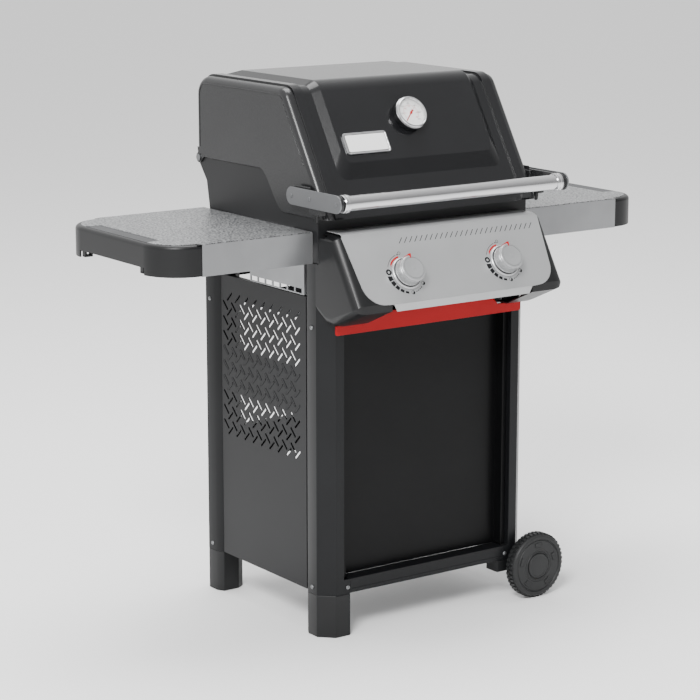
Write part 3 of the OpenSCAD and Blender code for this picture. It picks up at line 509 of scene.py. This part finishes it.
def buildKnob(side):
    v = knobValues
    r, top = v["radius"], v["height"]
    body = lathe([(0.0041, 0.022), (0.0041, v["start"]), (0.0075, v["start"]), (0.0075, 0.020),
                  (r - 0.004, 0.020), (r - 0.003, v["start"]), (r + 0.0006, v["start"]),
                  (r + 0.0006, 0.0085), (r, 0.0092), (r - 0.0004, top - 0.0062),
                  (r - 0.0012, top - 0.0056), (r - 0.0012, top - 0.0046),
                  (r - 0.0006, top - 0.0040), (r - 0.0008, top - 0.0014),
                  (r - 0.0020, top - 0.0002), (r - 0.0034, top), (r - 0.0050, top),
                  (r - 0.0054, top - 0.0011), (r - 0.0062, top - 0.0011), (r - 0.0066, top),
                  (r - 0.0100, top - 0.0002), (0.0080, top - 0.0010), (0, top - 0.0011)], 96)
    placeAtKnob(body, side)
    name = sideNames[side]
    settle(smooth(body, 28), "knobBody_" + name, name + "_knob", "knob_plastic",
           finishes["knobPlastic"], "knob_" + name)
    # the red pointer runs down the upper side of the knob and ends in a small flag on its face;
    # it stops high enough to clear the ring when the knob is pushed in
    bar = block((-0.0020, r - 0.0014, 0.0098), (0.0020, r + 0.0024, top + 0.0004))
    flag = plate([(-0.0026, r + 0.0022), (0.0026, r + 0.0022), (0.0008, r - 0.0066),
                  (-0.0008, r - 0.0066)], 0.0012)
    flag.location.z = top - 0.0006
    pointer = placeAtKnob(join([bar, freeze(flag)]), side)
    settle(soften(pointer, 0.0002), "knobPointer_" + name, name + "_knob", "red_paint",
           finishes["redPrint"])
    # plain raised disc in the middle of the face
    badge = lathe([(0, 0.0004), (0.0046, 0.0004), (0.0052, 0), (0, 0)], 40)
    badge.location.z = top - 0.0012
    placeAtKnob(freeze(badge), side)
    settle(smooth(badge), "knobDisc_" + name, name + "_knob", "knob_plastic",
           finishes["knobPlastic"])


def buildBezels():
    rings = []
    for side in (-1, 1):
        ring = lathe([(0.0298, 0.0002), (0.0340, 0.0002), (0.0340, 0.0028), (0.0334, 0.0040),
                      (0.0318, 0.0052), (0.0306, 0.0052), (0.0300, 0.0046), (0.0298, 0.0002)], 96)
        rings.append(placeAtKnob(ring, side))
    settle(smooth(join(rings), 30), "knobRings", "grill", "knob_plastic", finishes["fasciaSteel"],
           "knob_bezels")


# Printed marks are thin plates just above the surface that they lie on
dialValues = {"radius": 0.0405, "lift": 0.00015, "gap": 0.00002, "dashes": 5, "dots": 4}


def ringBand(r0, r1, start, end, steps=10):
    outline = arcPoints(0, 0, r1, start, end, steps) + arcPoints(0, 0, r0, end, start, steps)
    return plate(outline, dialValues["lift"])


def outlineRing(cx, cy, r, width):
    lift = dialValues["lift"]
    loop = lathe([(r - width, 0), (r, 0), (r, lift), (r - width, lift), (r - width, 0)], 28)
    loop.location = (cx, cy, 0)
    return freeze(loop)


def polar(r, angle):
    a = math.radians(angle)
    return r * math.cos(a), r * math.sin(a)


def buildDial(side):
    v = dialValues
    r = v["radius"]
    name = sideNames[side]
    marks = [ringBand(r + 0.0012, r + 0.0021, 106, 154),
             outlineRing(*polar(r + 0.0035, 92), 0.0032, 0.0007),
             outlineRing(*polar(r, 170), 0.0064, 0.0036)]
    # heat marks get thinner as the flame goes down
    for i in range(v["dashes"]):
        half = 0.0054 - i * 0.0008
        start = 182 + i * 16.5
        marks.append(ringBand(r - half, r + half, start, start + 14 - i * 0.8, 4))
    for i in range(v["dots"]):
        start = 284 + i * 7.5
        marks.append(ringBand(r - 0.0008, r + 0.0008, start, start + 4.5, 2))
    for angle in (273, 324):
        x, y = polar(r, angle)
        marks.append(outlineRing(x, y, 0.0042, 0.0007))
        half = plate(arcPoints(0, 0, 0.0036, -90, 90, 8), v["lift"])
        half.rotation_euler = (0, 0, math.radians(-30))
        half.location = (x, y, 0)
        marks.append(freeze(half))
    # arrow head on the thin arc
    arrowAngle = 101
    arrow = plate([(0, 0.0016), (0, -0.0016), (0.0034, 0)], v["lift"])
    arrow.rotation_euler = (0, 0, math.radians(arrowAngle - 90))
    arrow.location = (*polar(r + 0.0015, arrowAngle), 0)
    marks.append(freeze(arrow))
    dial = placeAtKnob(join(marks), side, v["gap"])
    settle(dial, "dialMarks_" + name, "grill", "cap_plastic", finishes["darkPrint"])
    # a red wedge between the knob's ring and the arc
    wedge = plate(arcPoints(0, 0, 0.0352, 100, 150, 8) + arcPoints(0, 0, 0.0384, 142, 98, 8),
                  v["lift"])
    placeAtKnob(wedge, side, v["gap"])
    settle(wedge, "dialWedge_" + name, "grill", "red_paint", finishes["redPrint"])


# Row of slanted strokes along the top of the fascia
hatchValues = {"count": 27, "first": -0.116, "pitch": 0.0127, "low": 0.124, "high": 0.136,
               "slant": 0.0105, "width": 0.0019}


def buildHatch():
    v = hatchValues
    strokes = []
    w = v["width"] / 2
    rise = v["high"] - v["low"]
    for i in range(v["count"]):
        x = v["first"] + i * v["pitch"]
        stroke = plate([(x - w, v["low"]), (x + w, v["low"]), (x + w + v["slant"], v["low"] + rise),
                        (x - w + v["slant"], v["low"] + rise)], dialValues["lift"])
        strokes.append(stroke)
    hatch = placeOn(fasciaFace, join(strokes), 0, 0, dialValues["gap"])
    settle(hatch, "fasciaHatch", "grill", "cap_plastic", finishes["darkPrint"])


for side in (-1, 1):
    buildKnob(side)
    buildDial(side)
buildBezels()
buildHatch()
print("control panel ready")


# Thermometer on the lid
gaugeValues = {"slope": 0.132, "base": 0.010, "radius": 0.035, "sweep": 270, "start": 225,
               "ticks": 30, "pointerTurn": 135}


def placeOnGauge(piece, off=0.0, turn=0.0):
    return placeOn(lidFace, piece, 0, gaugeValues["slope"], off, turn)


def buildThermometer():
    v = gaugeValues
    r, base = v["radius"], v["base"]
    housing = lathe([(0, base + 0.0002), (0.0325, base + 0.0002), (0.0335, base + 0.0012),
                     (0.0335, base + 0.0050), (0.0345, base + 0.0056), (0.0345, base + 0.0125),
                     (0.0335, base + 0.0136), (0.0, base + 0.0136)], 80)
    settle(smooth(placeOnGauge(housing), 30), "gaugeHousing", "lid", "cap_plastic",
           finishes["capPlastic"])
    bezel = lathe([(0.0, base + 0.0136), (r - 0.001, base + 0.0136), (r, base + 0.0142),
                   (r, base + 0.0156), (r - 0.0010, base + 0.0162), (r - 0.0004, base + 0.0168),
                   (r - 0.0002, base + 0.0190), (r - 0.0016, base + 0.0212),
                   (r - 0.0032, base + 0.0220), (r - 0.0042, base + 0.0216),
                   (0.0302, base + 0.0206), (0.0299, base + 0.0146), (0.0, base + 0.0146)], 96)
    settle(smooth(placeOnGauge(bezel), 28), "gaugeBezel", "lid", "bezel_metal",
           finishes["bezelMetal"], "thermometer_case")
    dial = lathe([(0.0, base + 0.0148), (0.0296, base + 0.0148), (0.0296, base + 0.0151),
                  (0.0, base + 0.0151)], 64)
    settle(smooth(placeOnGauge(dial)), "gaugeDial", "lid", "lens", finishes["dialWhite"])
    probe = lathe([(0, -0.060), (0.0026, -0.0585), (0.0030, -0.056), (0.0030, base), (0, base)], 24)
    settle(smooth(placeOnGauge(probe)), "gaugeProbe", "lid", "bezel_metal", finishes["zinc"])


def gaugeText(word, angle, r, size):
    deselect()
    bpy.ops.object.text_add()
    text = bpy.context.object
    text.data.body = word
    text.data.size = size
    text.data.align_x = "CENTER"
    text.data.align_y = "CENTER"
    text.data.extrude = 0.00006
    text.data.resolution_u = 3
    bpy.ops.object.convert(target="MESH")
    text = bpy.context.object
    text.location = (*polar(r, angle), 0)
    return freeze(text)


def buildGaugeMarks():
    # Temperature ticks and numbers in black, with a second scale in red inside them
    v = gaugeValues
    lift = v["base"] + 0.01512
    ticks = []
    for i in range(v["ticks"] + 1):
        angle = v["start"] - v["sweep"] * i / v["ticks"]
        long = i % 5 == 0
        inner = 0.0245 if long else 0.0260
        tick = block((inner, -0.00022, 0), (0.0278, 0.00022, 0.0001))
        tick.rotation_euler = (0, 0, math.radians(angle))
        ticks.append(freeze(tick))
        if long:
            ticks.append(gaugeText(str(50 + i * 20), angle, 0.0212, 0.0044))
    settle(placeOnGauge(join(ticks), lift), "gaugeMarks", "lid", "cap_plastic",
           finishes["darkPrint"])
    inner = [gaugeText(str(i * 50), v["start"] - v["sweep"] * i / 6, 0.0145, 0.0034)
             for i in range(7)]
    inner.append(ringBand(0.0172, 0.0176, v["start"] - v["sweep"], v["start"], 40))
    settle(placeOnGauge(join(inner), lift), "gaugeInnerMarks", "lid", "red_paint",
           finishes["redPrint"])


def buildGaugePointer():
    v = gaugeValues
    needle = plate([(-0.0026, -0.0085), (0.0026, -0.0085), (0.0010, -0.0030), (0.0006, 0.0240),
                    (-0.0006, 0.0240), (-0.0010, -0.0030)], 0.0006)
    boss = lathe([(0.0011, 0), (0.0030, 0), (0.0030, 0.0008), (0.0024, 0.0012), (0.0011, 0.0012),
                  (0.0011, 0)], 32)
    pointer = placeOnGauge(join([needle, boss]), v["base"] + 0.0154, v["pointerTurn"])
    settle(smooth(pointer, 30), "gaugePointer", "needle", "red_paint", finishes["redPaint"],
           "thermometer_pointer")
    glass = lathe([(0.0, 0.0), (0.0298, 0.0), (0.0300, 0.0008), (0.0200, 0.0014),
                   (0.0, 0.0018)], 72)
    placeOnGauge(glass, v["base"] + 0.0186)
    settle(smooth(glass), "gaugeGlass", "lid", "lens", finishes["lens"], "thermometer_lens")


buildThermometer()
buildGaugeMarks()
buildGaugePointer()
print("thermometer ready")


# Blank badge plate with a raised rim
badgeValues = {"x": -0.1215, "slope": 0.081, "width": 0.106, "height": 0.046, "corner": 0.006}


def roundedOutline(width, height, r, steps=6):
    x, y = width / 2 - r, height / 2 - r
    return (arcPoints(x, y, r, 0, 90, steps) + arcPoints(-x, y, r, 90, 180, steps)
            + arcPoints(-x, -y, r, 180, 270, steps) + arcPoints(x, -y, r, 270, 360, steps))


def buildBadge():
    v = badgeValues
    badge = plate(roundedOutline(v["width"], v["height"], v["corner"]), 0.0038)
    editFaces(badge, lambda c, n: n.z > 0.9)
    bpy.ops.mesh.inset(thickness=0.0024, depth=0)
    bpy.ops.mesh.inset(thickness=0.0010, depth=-0.0010)
    bpy.ops.object.mode_set(mode="OBJECT")
    soften(badge, 0.0006, 2, 40)
    placeOn(lidFace, badge, v["x"], v["slope"], 0.0101)
    settle(smooth(badge, 30), "badge", "lid", "badge_metal", finishes["badgeMetal"],
           "badge_plate")
    # a dark line just inside the rim, and the pale field on top of it
    inlays = [("badgeLine", 0.0072, 0.002, 0.0128, "cap_plastic", "darkPrint"),
              ("badgeField", 0.0098, 0.003, 0.0131, "lens", "dialWhite")]
    for name, less, tighter, off, slotName, finish in inlays:
        outline = roundedOutline(v["width"] - less, v["height"] - less, v["corner"] - tighter)
        inlay = placeOn(lidFace, plate(outline, 0.0003), v["x"], v["slope"], off)
        settle(inlay, name, "lid", slotName, finishes[finish])


buildBadge()
print("badge ready")


# Handle: polished tube, stepped collars, side plates with rivets and the stops under them
handleValues = {"y": -0.308 + cartY, "z": 0.902, "radius": 0.015, "end": 0.272, "plateOut": 0.285,
                "plateHeight": 0.036, "rear": -0.156 + cartY}


def buildHandle():
    v = handleValues
    r, end = v["radius"], v["end"]
    tube = lathe([(0, -end + 0.002), (r - 0.001, -end + 0.002), (r, -end + 0.003), (r, end - 0.003),
                  (r - 0.001, end - 0.002), (0, end - 0.002)], 96)
    collars = []
    for side in (-1, 1):
        profile = [(r + 0.0002, 0.0), (r + 0.0020, 0.0), (r + 0.0030, 0.0008),
                   (r + 0.0030, 0.0050), (r + 0.0022, 0.0056), (r + 0.0022, 0.0068),
                   (r + 0.0030, 0.0074), (r + 0.0030, 0.0124), (r + 0.0020, 0.0138),
                   (r + 0.0002, 0.0138), (r + 0.0002, 0.0)]
        collar = lathe([(a, side * (end - 0.0140 + b)) for a, b in profile], 80)
        collars.append(collar)
    for piece in [tube] + collars:
        activate(piece)
        piece.rotation_euler = (0, math.radians(90), 0)
        piece.location = (0, v["y"], v["z"])
        freeze(piece)
    settle(smooth(tube, 30), "handleBar", "lid", "handle_steel", finishes["handleSteel"],
           "handle_tube")
    settle(smooth(join(collars), 30), "handleCollars", "lid", "handle_steel",
           finishes["handleSteel"])


def sidePlate(x0, x1, front, rear, half, centreZ):
    # A round-ended plate standing in the Y-Z plane, from x0 to x1
    outline = (arcPoints(front, centreZ, half, 90, 270, 12)
               + arcPoints(rear, centreZ, half, -90, 90, 12))
    slab = plate(outline, x1 - x0)
    activate(slab)
    slab.rotation_euler = (math.radians(90), 0, math.radians(90))
    slab.location.x = x0
    return freeze(slab)


def buildBracket(side):
    v = handleValues
    name = sideNames[side]
    half = v["plateHeight"] / 2
    outer = sidePlate(v["plateOut"] - 0.0030, v["plateOut"], v["y"], v["rear"], half, v["z"])
    soften(outer, 0.0008, 3)
    core = sidePlate(v["end"], v["plateOut"] - 0.0032, v["y"] + 0.002, v["rear"] - 0.002,
                     half - 0.0022, v["z"])
    soften(core, 0.0012, 2)
    wing = block((v["end"] + 0.001, v["rear"] - 0.052, v["z"] + half - 0.006),
                 (v["end"] + 0.0055, v["rear"] + 0.004, v["z"] + half + 0.0035))
    soften(wing, 0.0015, 2)
    boss = block((0.2665, -0.222 + cartY, v["z"] - 0.014),
                 (v["end"] + 0.0005, v["rear"], v["z"] + 0.014))
    soften(boss, 0.002, 3)
    # stop block under the plate with a tapered pin
    stopY = -0.232 + cartY
    stop = soften(block((v["end"] - 0.004, stopY - 0.019, v["z"] - half - 0.013),
                        (v["plateOut"] - 0.003, stopY + 0.019, v["z"] - half + 0.004)), 0.002, 3)
    dark = join([core, boss, stop, wing])
    pin = lathe([(0, 0), (0.0052, 0.0), (0.0040, -0.0150), (0.0026, -0.0170), (0, -0.0170)], 24)
    activate(pin)
    pin.location = (v["end"] + 0.004, stopY, v["z"] - half - 0.012)
    freeze(pin)
    pieces = [
        (outer, "handlePlate_", "bracket_metal", "bracketMetal", ["handle_bracket_" + name]),
        (dark, "handleCore_", "cap_plastic", "lidCasting", []),
        (pin, "handleStopPin_", "cap_plastic", "capPlastic", []),
    ]
    for piece, label, slotName, finish, nodes in pieces:
        piece = smooth(toSide(piece, side), 30)
        settle(piece, label + name, "lid", slotName, finishes[finish], *nodes)


def buildRivets():
    v = handleValues
    rivets = []
    for side in (-1, 1):
        for y in (v["y"], v["y"] + 0.090, v["rear"]):
            rivet = lathe([(0, 0.0013), (0.0014, 0.0014), (0.0022, 0.0010), (0.0030, 0.0010),
                           (0.0036, 0.0013), (0.0043, 0.0010), (0.0046, 0.0001),
                           (0, 0.0001)], 32)
            activate(rivet)
            rivet.rotation_euler = (0, math.radians(90 * side), 0)
            rivet.location = (side * v["plateOut"], y, v["z"])
            rivets.append(freeze(rivet))
    settle(smooth(join(rivets), 30), "handleRivets", "lid", "fastener", finishes["zinc"],
           "handle_rivets")


buildHandle()
for side in (-1, 1):
    buildBracket(side)
buildRivets()
print("handle ready")


# Side tables: pebbled steel tops, smooth skirts and moulded ends
tableValues = {"inner": 0.2669, "outer": 0.605, "front": -0.203 + cartY, "rear": 0.200 + cartY,
               "top": 0.834, "skirt": 0.062, "joint": 0.521, "corner": 0.080, "rim": 0.011,
               "stripIn": 0.562, "stripHalf": 0.113, "sheet": 0.0015, "shoulder": 0.0080}


def buildTableTop():
    v = tableValues
    r = v["corner"] - v["rim"]
    edge = v["outer"] - v["rim"]
    midY = (v["front"] + v["rear"]) / 2
    stepY = v["stripHalf"]
    outline = [(v["inner"], v["front"]), (v["joint"], v["front"]),
               (v["joint"], v["front"] + v["rim"])]
    outline += arcPoints(edge - r, v["front"] + v["rim"] + r, r, -90, 0, 10)
    # notch that the grained strip sits in
    outline += [(edge, midY - stepY - 0.008), (v["stripIn"], midY - stepY),
                (v["stripIn"], midY + stepY), (edge, midY + stepY + 0.008)]
    outline += arcPoints(edge - r, v["rear"] - v["rim"] - r, r, 0, 90, 10)
    outline += [(v["joint"], v["rear"] - v["rim"]), (v["joint"], v["rear"]),
                (v["inner"], v["rear"])]
    top = plate(outline, v["sheet"])
    top.location.z = v["top"] - v["sheet"]
    soften(freeze(top), 0.0006, 2, 50)
    return top


def buildSkirts():
    v = tableValues
    walls = []
    low = v["top"] - v["skirt"]
    for y, inward in ((v["front"], 1), (v["rear"], -1)):
        lip = 0.009 * inward
        wall = strand([(v["inner"], y + lip, low), (v["inner"], y, low),
                       (v["inner"], y, v["top"] - 0.0014)])
        push((v["joint"] - v["inner"], 0, 0))
        bpy.ops.object.mode_set(mode="OBJECT")
        thick = wall.modifiers.new("sheet", "SOLIDIFY")
        thick.thickness = v["sheet"] * 0.9
        thick.offset = 1 if inward < 0 else -1
        activate(wall)
        bpy.ops.object.modifier_apply(modifier=thick.name)
        editAll(wall)
        bpy.ops.mesh.normals_make_consistent(inside=False)
        bpy.ops.object.mode_set(mode="OBJECT")
        walls.append(soften(wall, 0.0006, 2, 50))
    return join(walls)


def cutAway(piece, low, high):
    # Removes a box-shaped region
    cutter = block(low, high)
    activate(piece)
    cut = piece.modifiers.new("cut", "BOOLEAN")
    cut.operation = "DIFFERENCE"
    cut.solver = "EXACT"
    cut.object = cutter
    bpy.ops.object.modifier_apply(modifier=cut.name)
    bpy.data.objects.remove(cutter)


def buildTableEnd():
    v = tableValues
    low = v["top"] - v["skirt"]
    r = v["corner"]
    lap = 0.0026
    shoulder = v["shoulder"]
    outline = [(v["joint"] - 0.010, v["front"] + lap), (v["joint"], v["front"] + lap),
               (v["joint"], v["front"])]
    outline += arcPoints(v["outer"] - r, v["front"] + r, r, -90, 0, 16)
    outline += arcPoints(v["outer"] - r, v["rear"] - r, r, 0, 90, 16)
    outline += [(v["joint"], v["rear"]), (v["joint"], v["rear"] - lap),
                (v["joint"] - 0.010, v["rear"] - lap)]
    end = plate(outline, v["skirt"] - 0.001 - shoulder)
    end.location.z = low
    freeze(end)
    # rounded shoulder all round the top, one small step after another
    editFaces(end, lambda c, n: n.z > 0.9)
    steps = 6
    for i in range(steps):
        a0, a1 = (math.pi / 2 * k / steps for k in (i, i + 1))
        bpy.ops.mesh.inset(thickness=shoulder * (math.cos(a0) - math.cos(a1)),
                           depth=shoulder * (math.sin(a1) - math.sin(a0)))
    bpy.ops.object.mode_set(mode="OBJECT")
    # hollow from below, and lift the middle of the lower edge
    editFaces(end, lambda c, n: n.z < -0.9)
    bpy.ops.mesh.inset(thickness=0.0032, depth=0)
    push((0, 0, v["skirt"] - shoulder - 0.004))
    bpy.ops.object.mode_set(mode="OBJECT")
    cutAway(end, (v["joint"] + 0.034, v["front"] + r - 0.004, low - 0.004),
            (v["outer"] + 0.01, v["rear"] - r + 0.004, low + 0.014))
    soften(end, 0.0008, 2, 50)
    midY = (v["front"] + v["rear"]) / 2
    # two tool hooks, each of a stem, a foot and an upturned tip, and the stiffening rib
    extras = []
    for y in (v["front"] + r + 0.008, v["rear"] - r - 0.008):
        for inward, outward, bottom, height in ((0.0066, 0.0020, 0.0020, 0.020),
                                                (0.0200, 0.0020, 0.0015, 0.006),
                                                (0.0200, 0.0160, 0.0015, 0.010)):
            bit = block((v["outer"] - inward, y - 0.006, low + bottom),
                        (v["outer"] - outward, y + 0.006, low + height))
            extras.append(soften(bit, 0.0009, 2))
    rib = block((v["outer"] - 0.026, midY - 0.055, low + 0.006),
                (v["outer"] - 0.0234, midY + 0.055, low + 0.030))
    extras.append(soften(rib, 0.0006, 2))
    return join([end] + extras)


def buildTableStrip():
    # Grained strip let into the middle of the outer edge, with slanted ends
    v = tableValues
    midY = (v["front"] + v["rear"]) / 2
    inX, outX, half = v["stripIn"] + 0.0012, v["outer"] - v["rim"] + 0.0004, v["stripHalf"]
    strip = plate([(inX, midY - half + 0.0012), (outX, midY - half - 0.007),
                   (outX, midY + half + 0.007), (inX, midY + half - 0.0012)], 0.0012)
    strip.location.z = v["top"] - 0.0016
    freeze(strip)
    editFaces(strip, lambda c, n: n.z > 0.9)
    bpy.ops.mesh.inset(thickness=0.0022, depth=0)
    bpy.ops.mesh.inset(thickness=0.0008, depth=-0.0005)
    bpy.ops.object.mode_set(mode="OBJECT")
    return strip


for name, side in sides.items():
    parts = {"tableTop_": (buildTableTop(), "table_steel", "tableSteel", ["table_" + name]),
             "tableSkirt_": (buildSkirts(), "table_steel", "skirtSteel", []),
             "tableEnd_": (buildTableEnd(), "cap_plastic", "capPlastic", ["table_cap_" + name]),
             "tableStrip_": (buildTableStrip(), "cap_plastic", "grainPlastic", [])}
    for label, (piece, slotName, finish, nodes) in parts.items():
        piece = smooth(toSide(piece, side), 32)
        settle(piece, label + name, "grill", slotName, finishes[finish], *nodes)
print("tables ready")


# Wheels: side lugs round the tread, a stepped face with pressed marks and a domed hub cap
wheelValues = {"x": 0.2725, "z": 0.071, "radius": 0.071, "width": 0.028, "inner": 0.238,
               "bore": 0.0061, "lugs": 44, "marks": 5}


def wheelPlace(piece, direction):
    # Local +Z becomes the outward direction along Y
    activate(piece)
    piece.rotation_euler = (math.radians(90 if direction < 0 else -90), 0, 0)
    piece.location = (wheelValues["x"], cartY + direction * wheelValues["inner"], wheelValues["z"])
    return freeze(piece)


def buildWheel(direction):
    v = wheelValues
    r, w = v["radius"], v["width"]
    name = "front" if direction < 0 else "rear"
    disc = lathe([(v["bore"], 0.001), (0.015, 0.001), (0.017, 0.004), (0.017, w - 0.009),
                  (0.058, w - 0.009), (0.060, 0.003), (0.062, 0.001), (r - 0.006, 0.001),
                  (r - 0.0035, 0.002), (r - 0.0030, 0.004), (r - 0.0030, w - 0.0085),
                  (r - 0.0034, w - 0.0070), (r - 0.0042, w - 0.0040), (r - 0.0060, w - 0.0020),
                  (r - 0.0090, w - 0.0012), (r - 0.0130, w - 0.0012), (r - 0.0142, w - 0.0030),
                  (r - 0.0156, w - 0.0032), (r - 0.0170, w - 0.0018), (0.0360, w - 0.0014),
                  (0.0345, w - 0.0026), (0.0315, w - 0.0026), (0.0300, w - 0.0012),
                  (0.0286, w - 0.0014), (0.0284, w - 0.0048), (v["bore"], w - 0.0048),
                  (v["bore"], 0.001)], 96)
    parts = [disc]
    # lugs staggered on the two shoulders
    for i in range(v["lugs"]):
        for row, (z0, z1) in enumerate(((0.0040, 0.0125), (0.0140, 0.0215))):
            angle = 360 / v["lugs"] * (i + 0.5 * row)
            lug = block((r - 0.0034, -0.0030, z0), (r - 0.0004, 0.0030, z1))
            lug.rotation_euler = (0, 0, math.radians(angle))
            parts.append(freeze(lug))
    # raised marks in the face's ring
    for i in range(v["marks"]):
        mark = ringBand(0.0402, 0.0500, -11, 11, 6)
        editFaces(mark, lambda c, n: n.z > 0.9)
        push((0, 0, 0.0012))
        bpy.ops.mesh.inset(thickness=0.0014, depth=-0.0008)
        bpy.ops.object.mode_set(mode="OBJECT")
        mark.rotation_euler = (0, 0, math.radians(90 + i * 360 / v["marks"]))
        mark.location.z = w - 0.0018
        parts.append(freeze(mark))
    wheel = wheelPlace(join(parts), direction)
    settle(smooth(wheel, 30), "wheel_" + name + "Tyre", name + "_wheel", "wheel_plastic",
           finishes["wheelPlastic"], "wheel_" + name)
    cap = lathe([(0, w - 0.0035), (0.0262, w - 0.0035), (0.0270, w - 0.0030),
                 (0.0270, w - 0.0006), (0.0262, w + 0.0002), (0.0235, w + 0.0006),
                 (0.0225, w + 0.0001), (0.0210, w + 0.0001), (0.0200, w + 0.0005),
                 (0.0100, w + 0.0009), (0, w + 0.0010)], 72)
    settle(smooth(wheelPlace(cap, direction), 30), "hub_" + name, name + "_wheel", "wheel_plastic",
           finishes["wheelPlastic"], "hub_cap_" + name)


for direction in (-1, 1):
    buildWheel(direction)
print("wheels ready")


# Pressed, unpierced slots that fill the middle band of each side panel
slotValues = {"x": 0.254, "length": 0.026, "width": 0.005, "pitch": 0.032, "step": 0.0315,
              "columns": 9, "y": 0.124, "z": 0.653, "lift": 0.0007}


def buildPressedSlots(side):
    v = slotValues
    first = stadium(v["length"], v["width"], v["lift"])
    editFaces(first, lambda c, n: n.z > 0.9)
    bpy.ops.mesh.inset(thickness=0.0009, depth=0.0)
    bpy.ops.transform.translate(value=(0, 0, -0.0005))
    bpy.ops.object.mode_set(mode="OBJECT")
    placed = []
    rows = [(v["y"], v["z"], -45, (4, 5, 6)), (v["y"] + 0.0155, v["z"] - 0.020, 45, (3, 4, 5))]
    for y0, z0, lean, numbers in rows:
        for column in range(v["columns"]):
            for row in numbers:
                y = y0 - column * v["step"] + cartY
                z = z0 - row * v["pitch"]
                slotPiece = duplicate(first)
                slotPiece.rotation_euler = (0, 0, math.radians(lean))
                freeze(slotPiece)
                slotPiece.rotation_euler = (math.radians(90), 0, math.radians(90))
                slotPiece.location = (v["x"], y, z)
                placed.append(freeze(slotPiece))
    bpy.data.objects.remove(first)
    marks = smooth(toSide(join(placed), side), 30)
    settle(marks, "pressedSlots_" + sideNames[side], "grill", "cart_steel",
           finishes["cartSteel"])


for side in (-1, 1):
    buildPressedSlots(side)
print("side panels ready")


# Cart screws with a small recess
screwValues = {"radius": 0.0045, "height": 0.0024, "halfX": 0.261, "halfY": 0.234,
               "heights": (0.103, 0.640)}


def screwHead():
    v = screwValues
    r, h = v["radius"], v["height"]
    head = lathe([(0, 0.0001), (r, 0.0001), (r, h * 0.35), (r * 0.86, h * 0.75), (r * 0.5, h),
                  (r * 0.22, h), (r * 0.2, h * 0.45), (0, h * 0.4)], 24)
    return smooth(head, 30)


def buildScrews():
    v = screwValues
    heads, spots = [], []
    for side in (-1, 1):
        front = (side * (v["halfX"] - 0.057), cartY - v["halfY"], v["heights"][0])
        spots.append((front, (math.radians(90), 0, 0)))
        for y in (-1, 1):
            for z in v["heights"]:
                flank = (side * v["halfX"], y * (v["halfY"] - 0.044) + cartY, z)
                spots.append((flank, (0, math.radians(90 * side), 0)))
    for place, turn in spots:
        head = screwHead()
        head.rotation_euler = turn
        head.location = place
        heads.append(freeze(head))
    settle(join(heads), "cartScrews", "grill", "fastener", finishes["zinc"], "cart_screws")


buildScrews()
print("screws ready")


# Floor and lights
def buildStage():
    deselect()
    bpy.ops.mesh.primitive_plane_add(size=120, location=(0, 30, 0))
    floor = bpy.context.object
    floor.name = "floor"
    material, tree, shader = blankMaterial("floorPale", (0.93, 0.93, 0.93), 0.9, specular=0.1)
    floor.data.materials.append(material)
    # soft sky, bright behind the grill and dimmer in front of it
    world = bpy.data.worlds.new("softSky")
    world.use_nodes = True
    nodes, links = world.node_tree.nodes, world.node_tree.links
    nodes["Background"].inputs["Color"].default_value = (1, 1, 1, 1)
    direction = nodes.new("ShaderNodeTexCoord")
    turned = nodes.new("ShaderNodeVectorMath")
    turned.operation = "DOT_PRODUCT"
    turned.inputs[1].default_value = (-0.35, 0.75, 0.56)
    level = nodes.new("ShaderNodeMapRange")
    for label, value in (("From Min", -0.7), ("From Max", 0.8), ("To Min", 0.42), ("To Max", 1.45)):
        level.inputs[label].default_value = value
    links.new(direction.outputs["Generated"], turned.inputs[0])
    links.new(turned.outputs["Value"], level.inputs["Value"])
    links.new(level.outputs["Result"], nodes["Background"].inputs["Strength"])
    bpy.context.scene.world = world
    lamps = [
        # name, place, aim, size, watts
        ("keyLight", (-3.8, -3.4, 4.4), (0, 0, 0.6), 1.8, 460),
        ("topLight", (0.2, 0.6, 4.6), (0, 0, 0.8), 2.6, 200),
    ]
    for name, place, aim, size, watts in lamps:
        light = bpy.data.lights.new(name, "AREA")
        light.shape = "SQUARE"
        light.size = size
        light.energy = watts
        lamp = bpy.data.objects.new(name, light)
        lamp.location = place
        lamp.rotation_euler = (Vector(aim) - Vector(place)).to_track_quat("-Z", "Y").to_euler()
        bpy.context.scene.collection.objects.link(lamp)


buildStage()
print("stage ready")
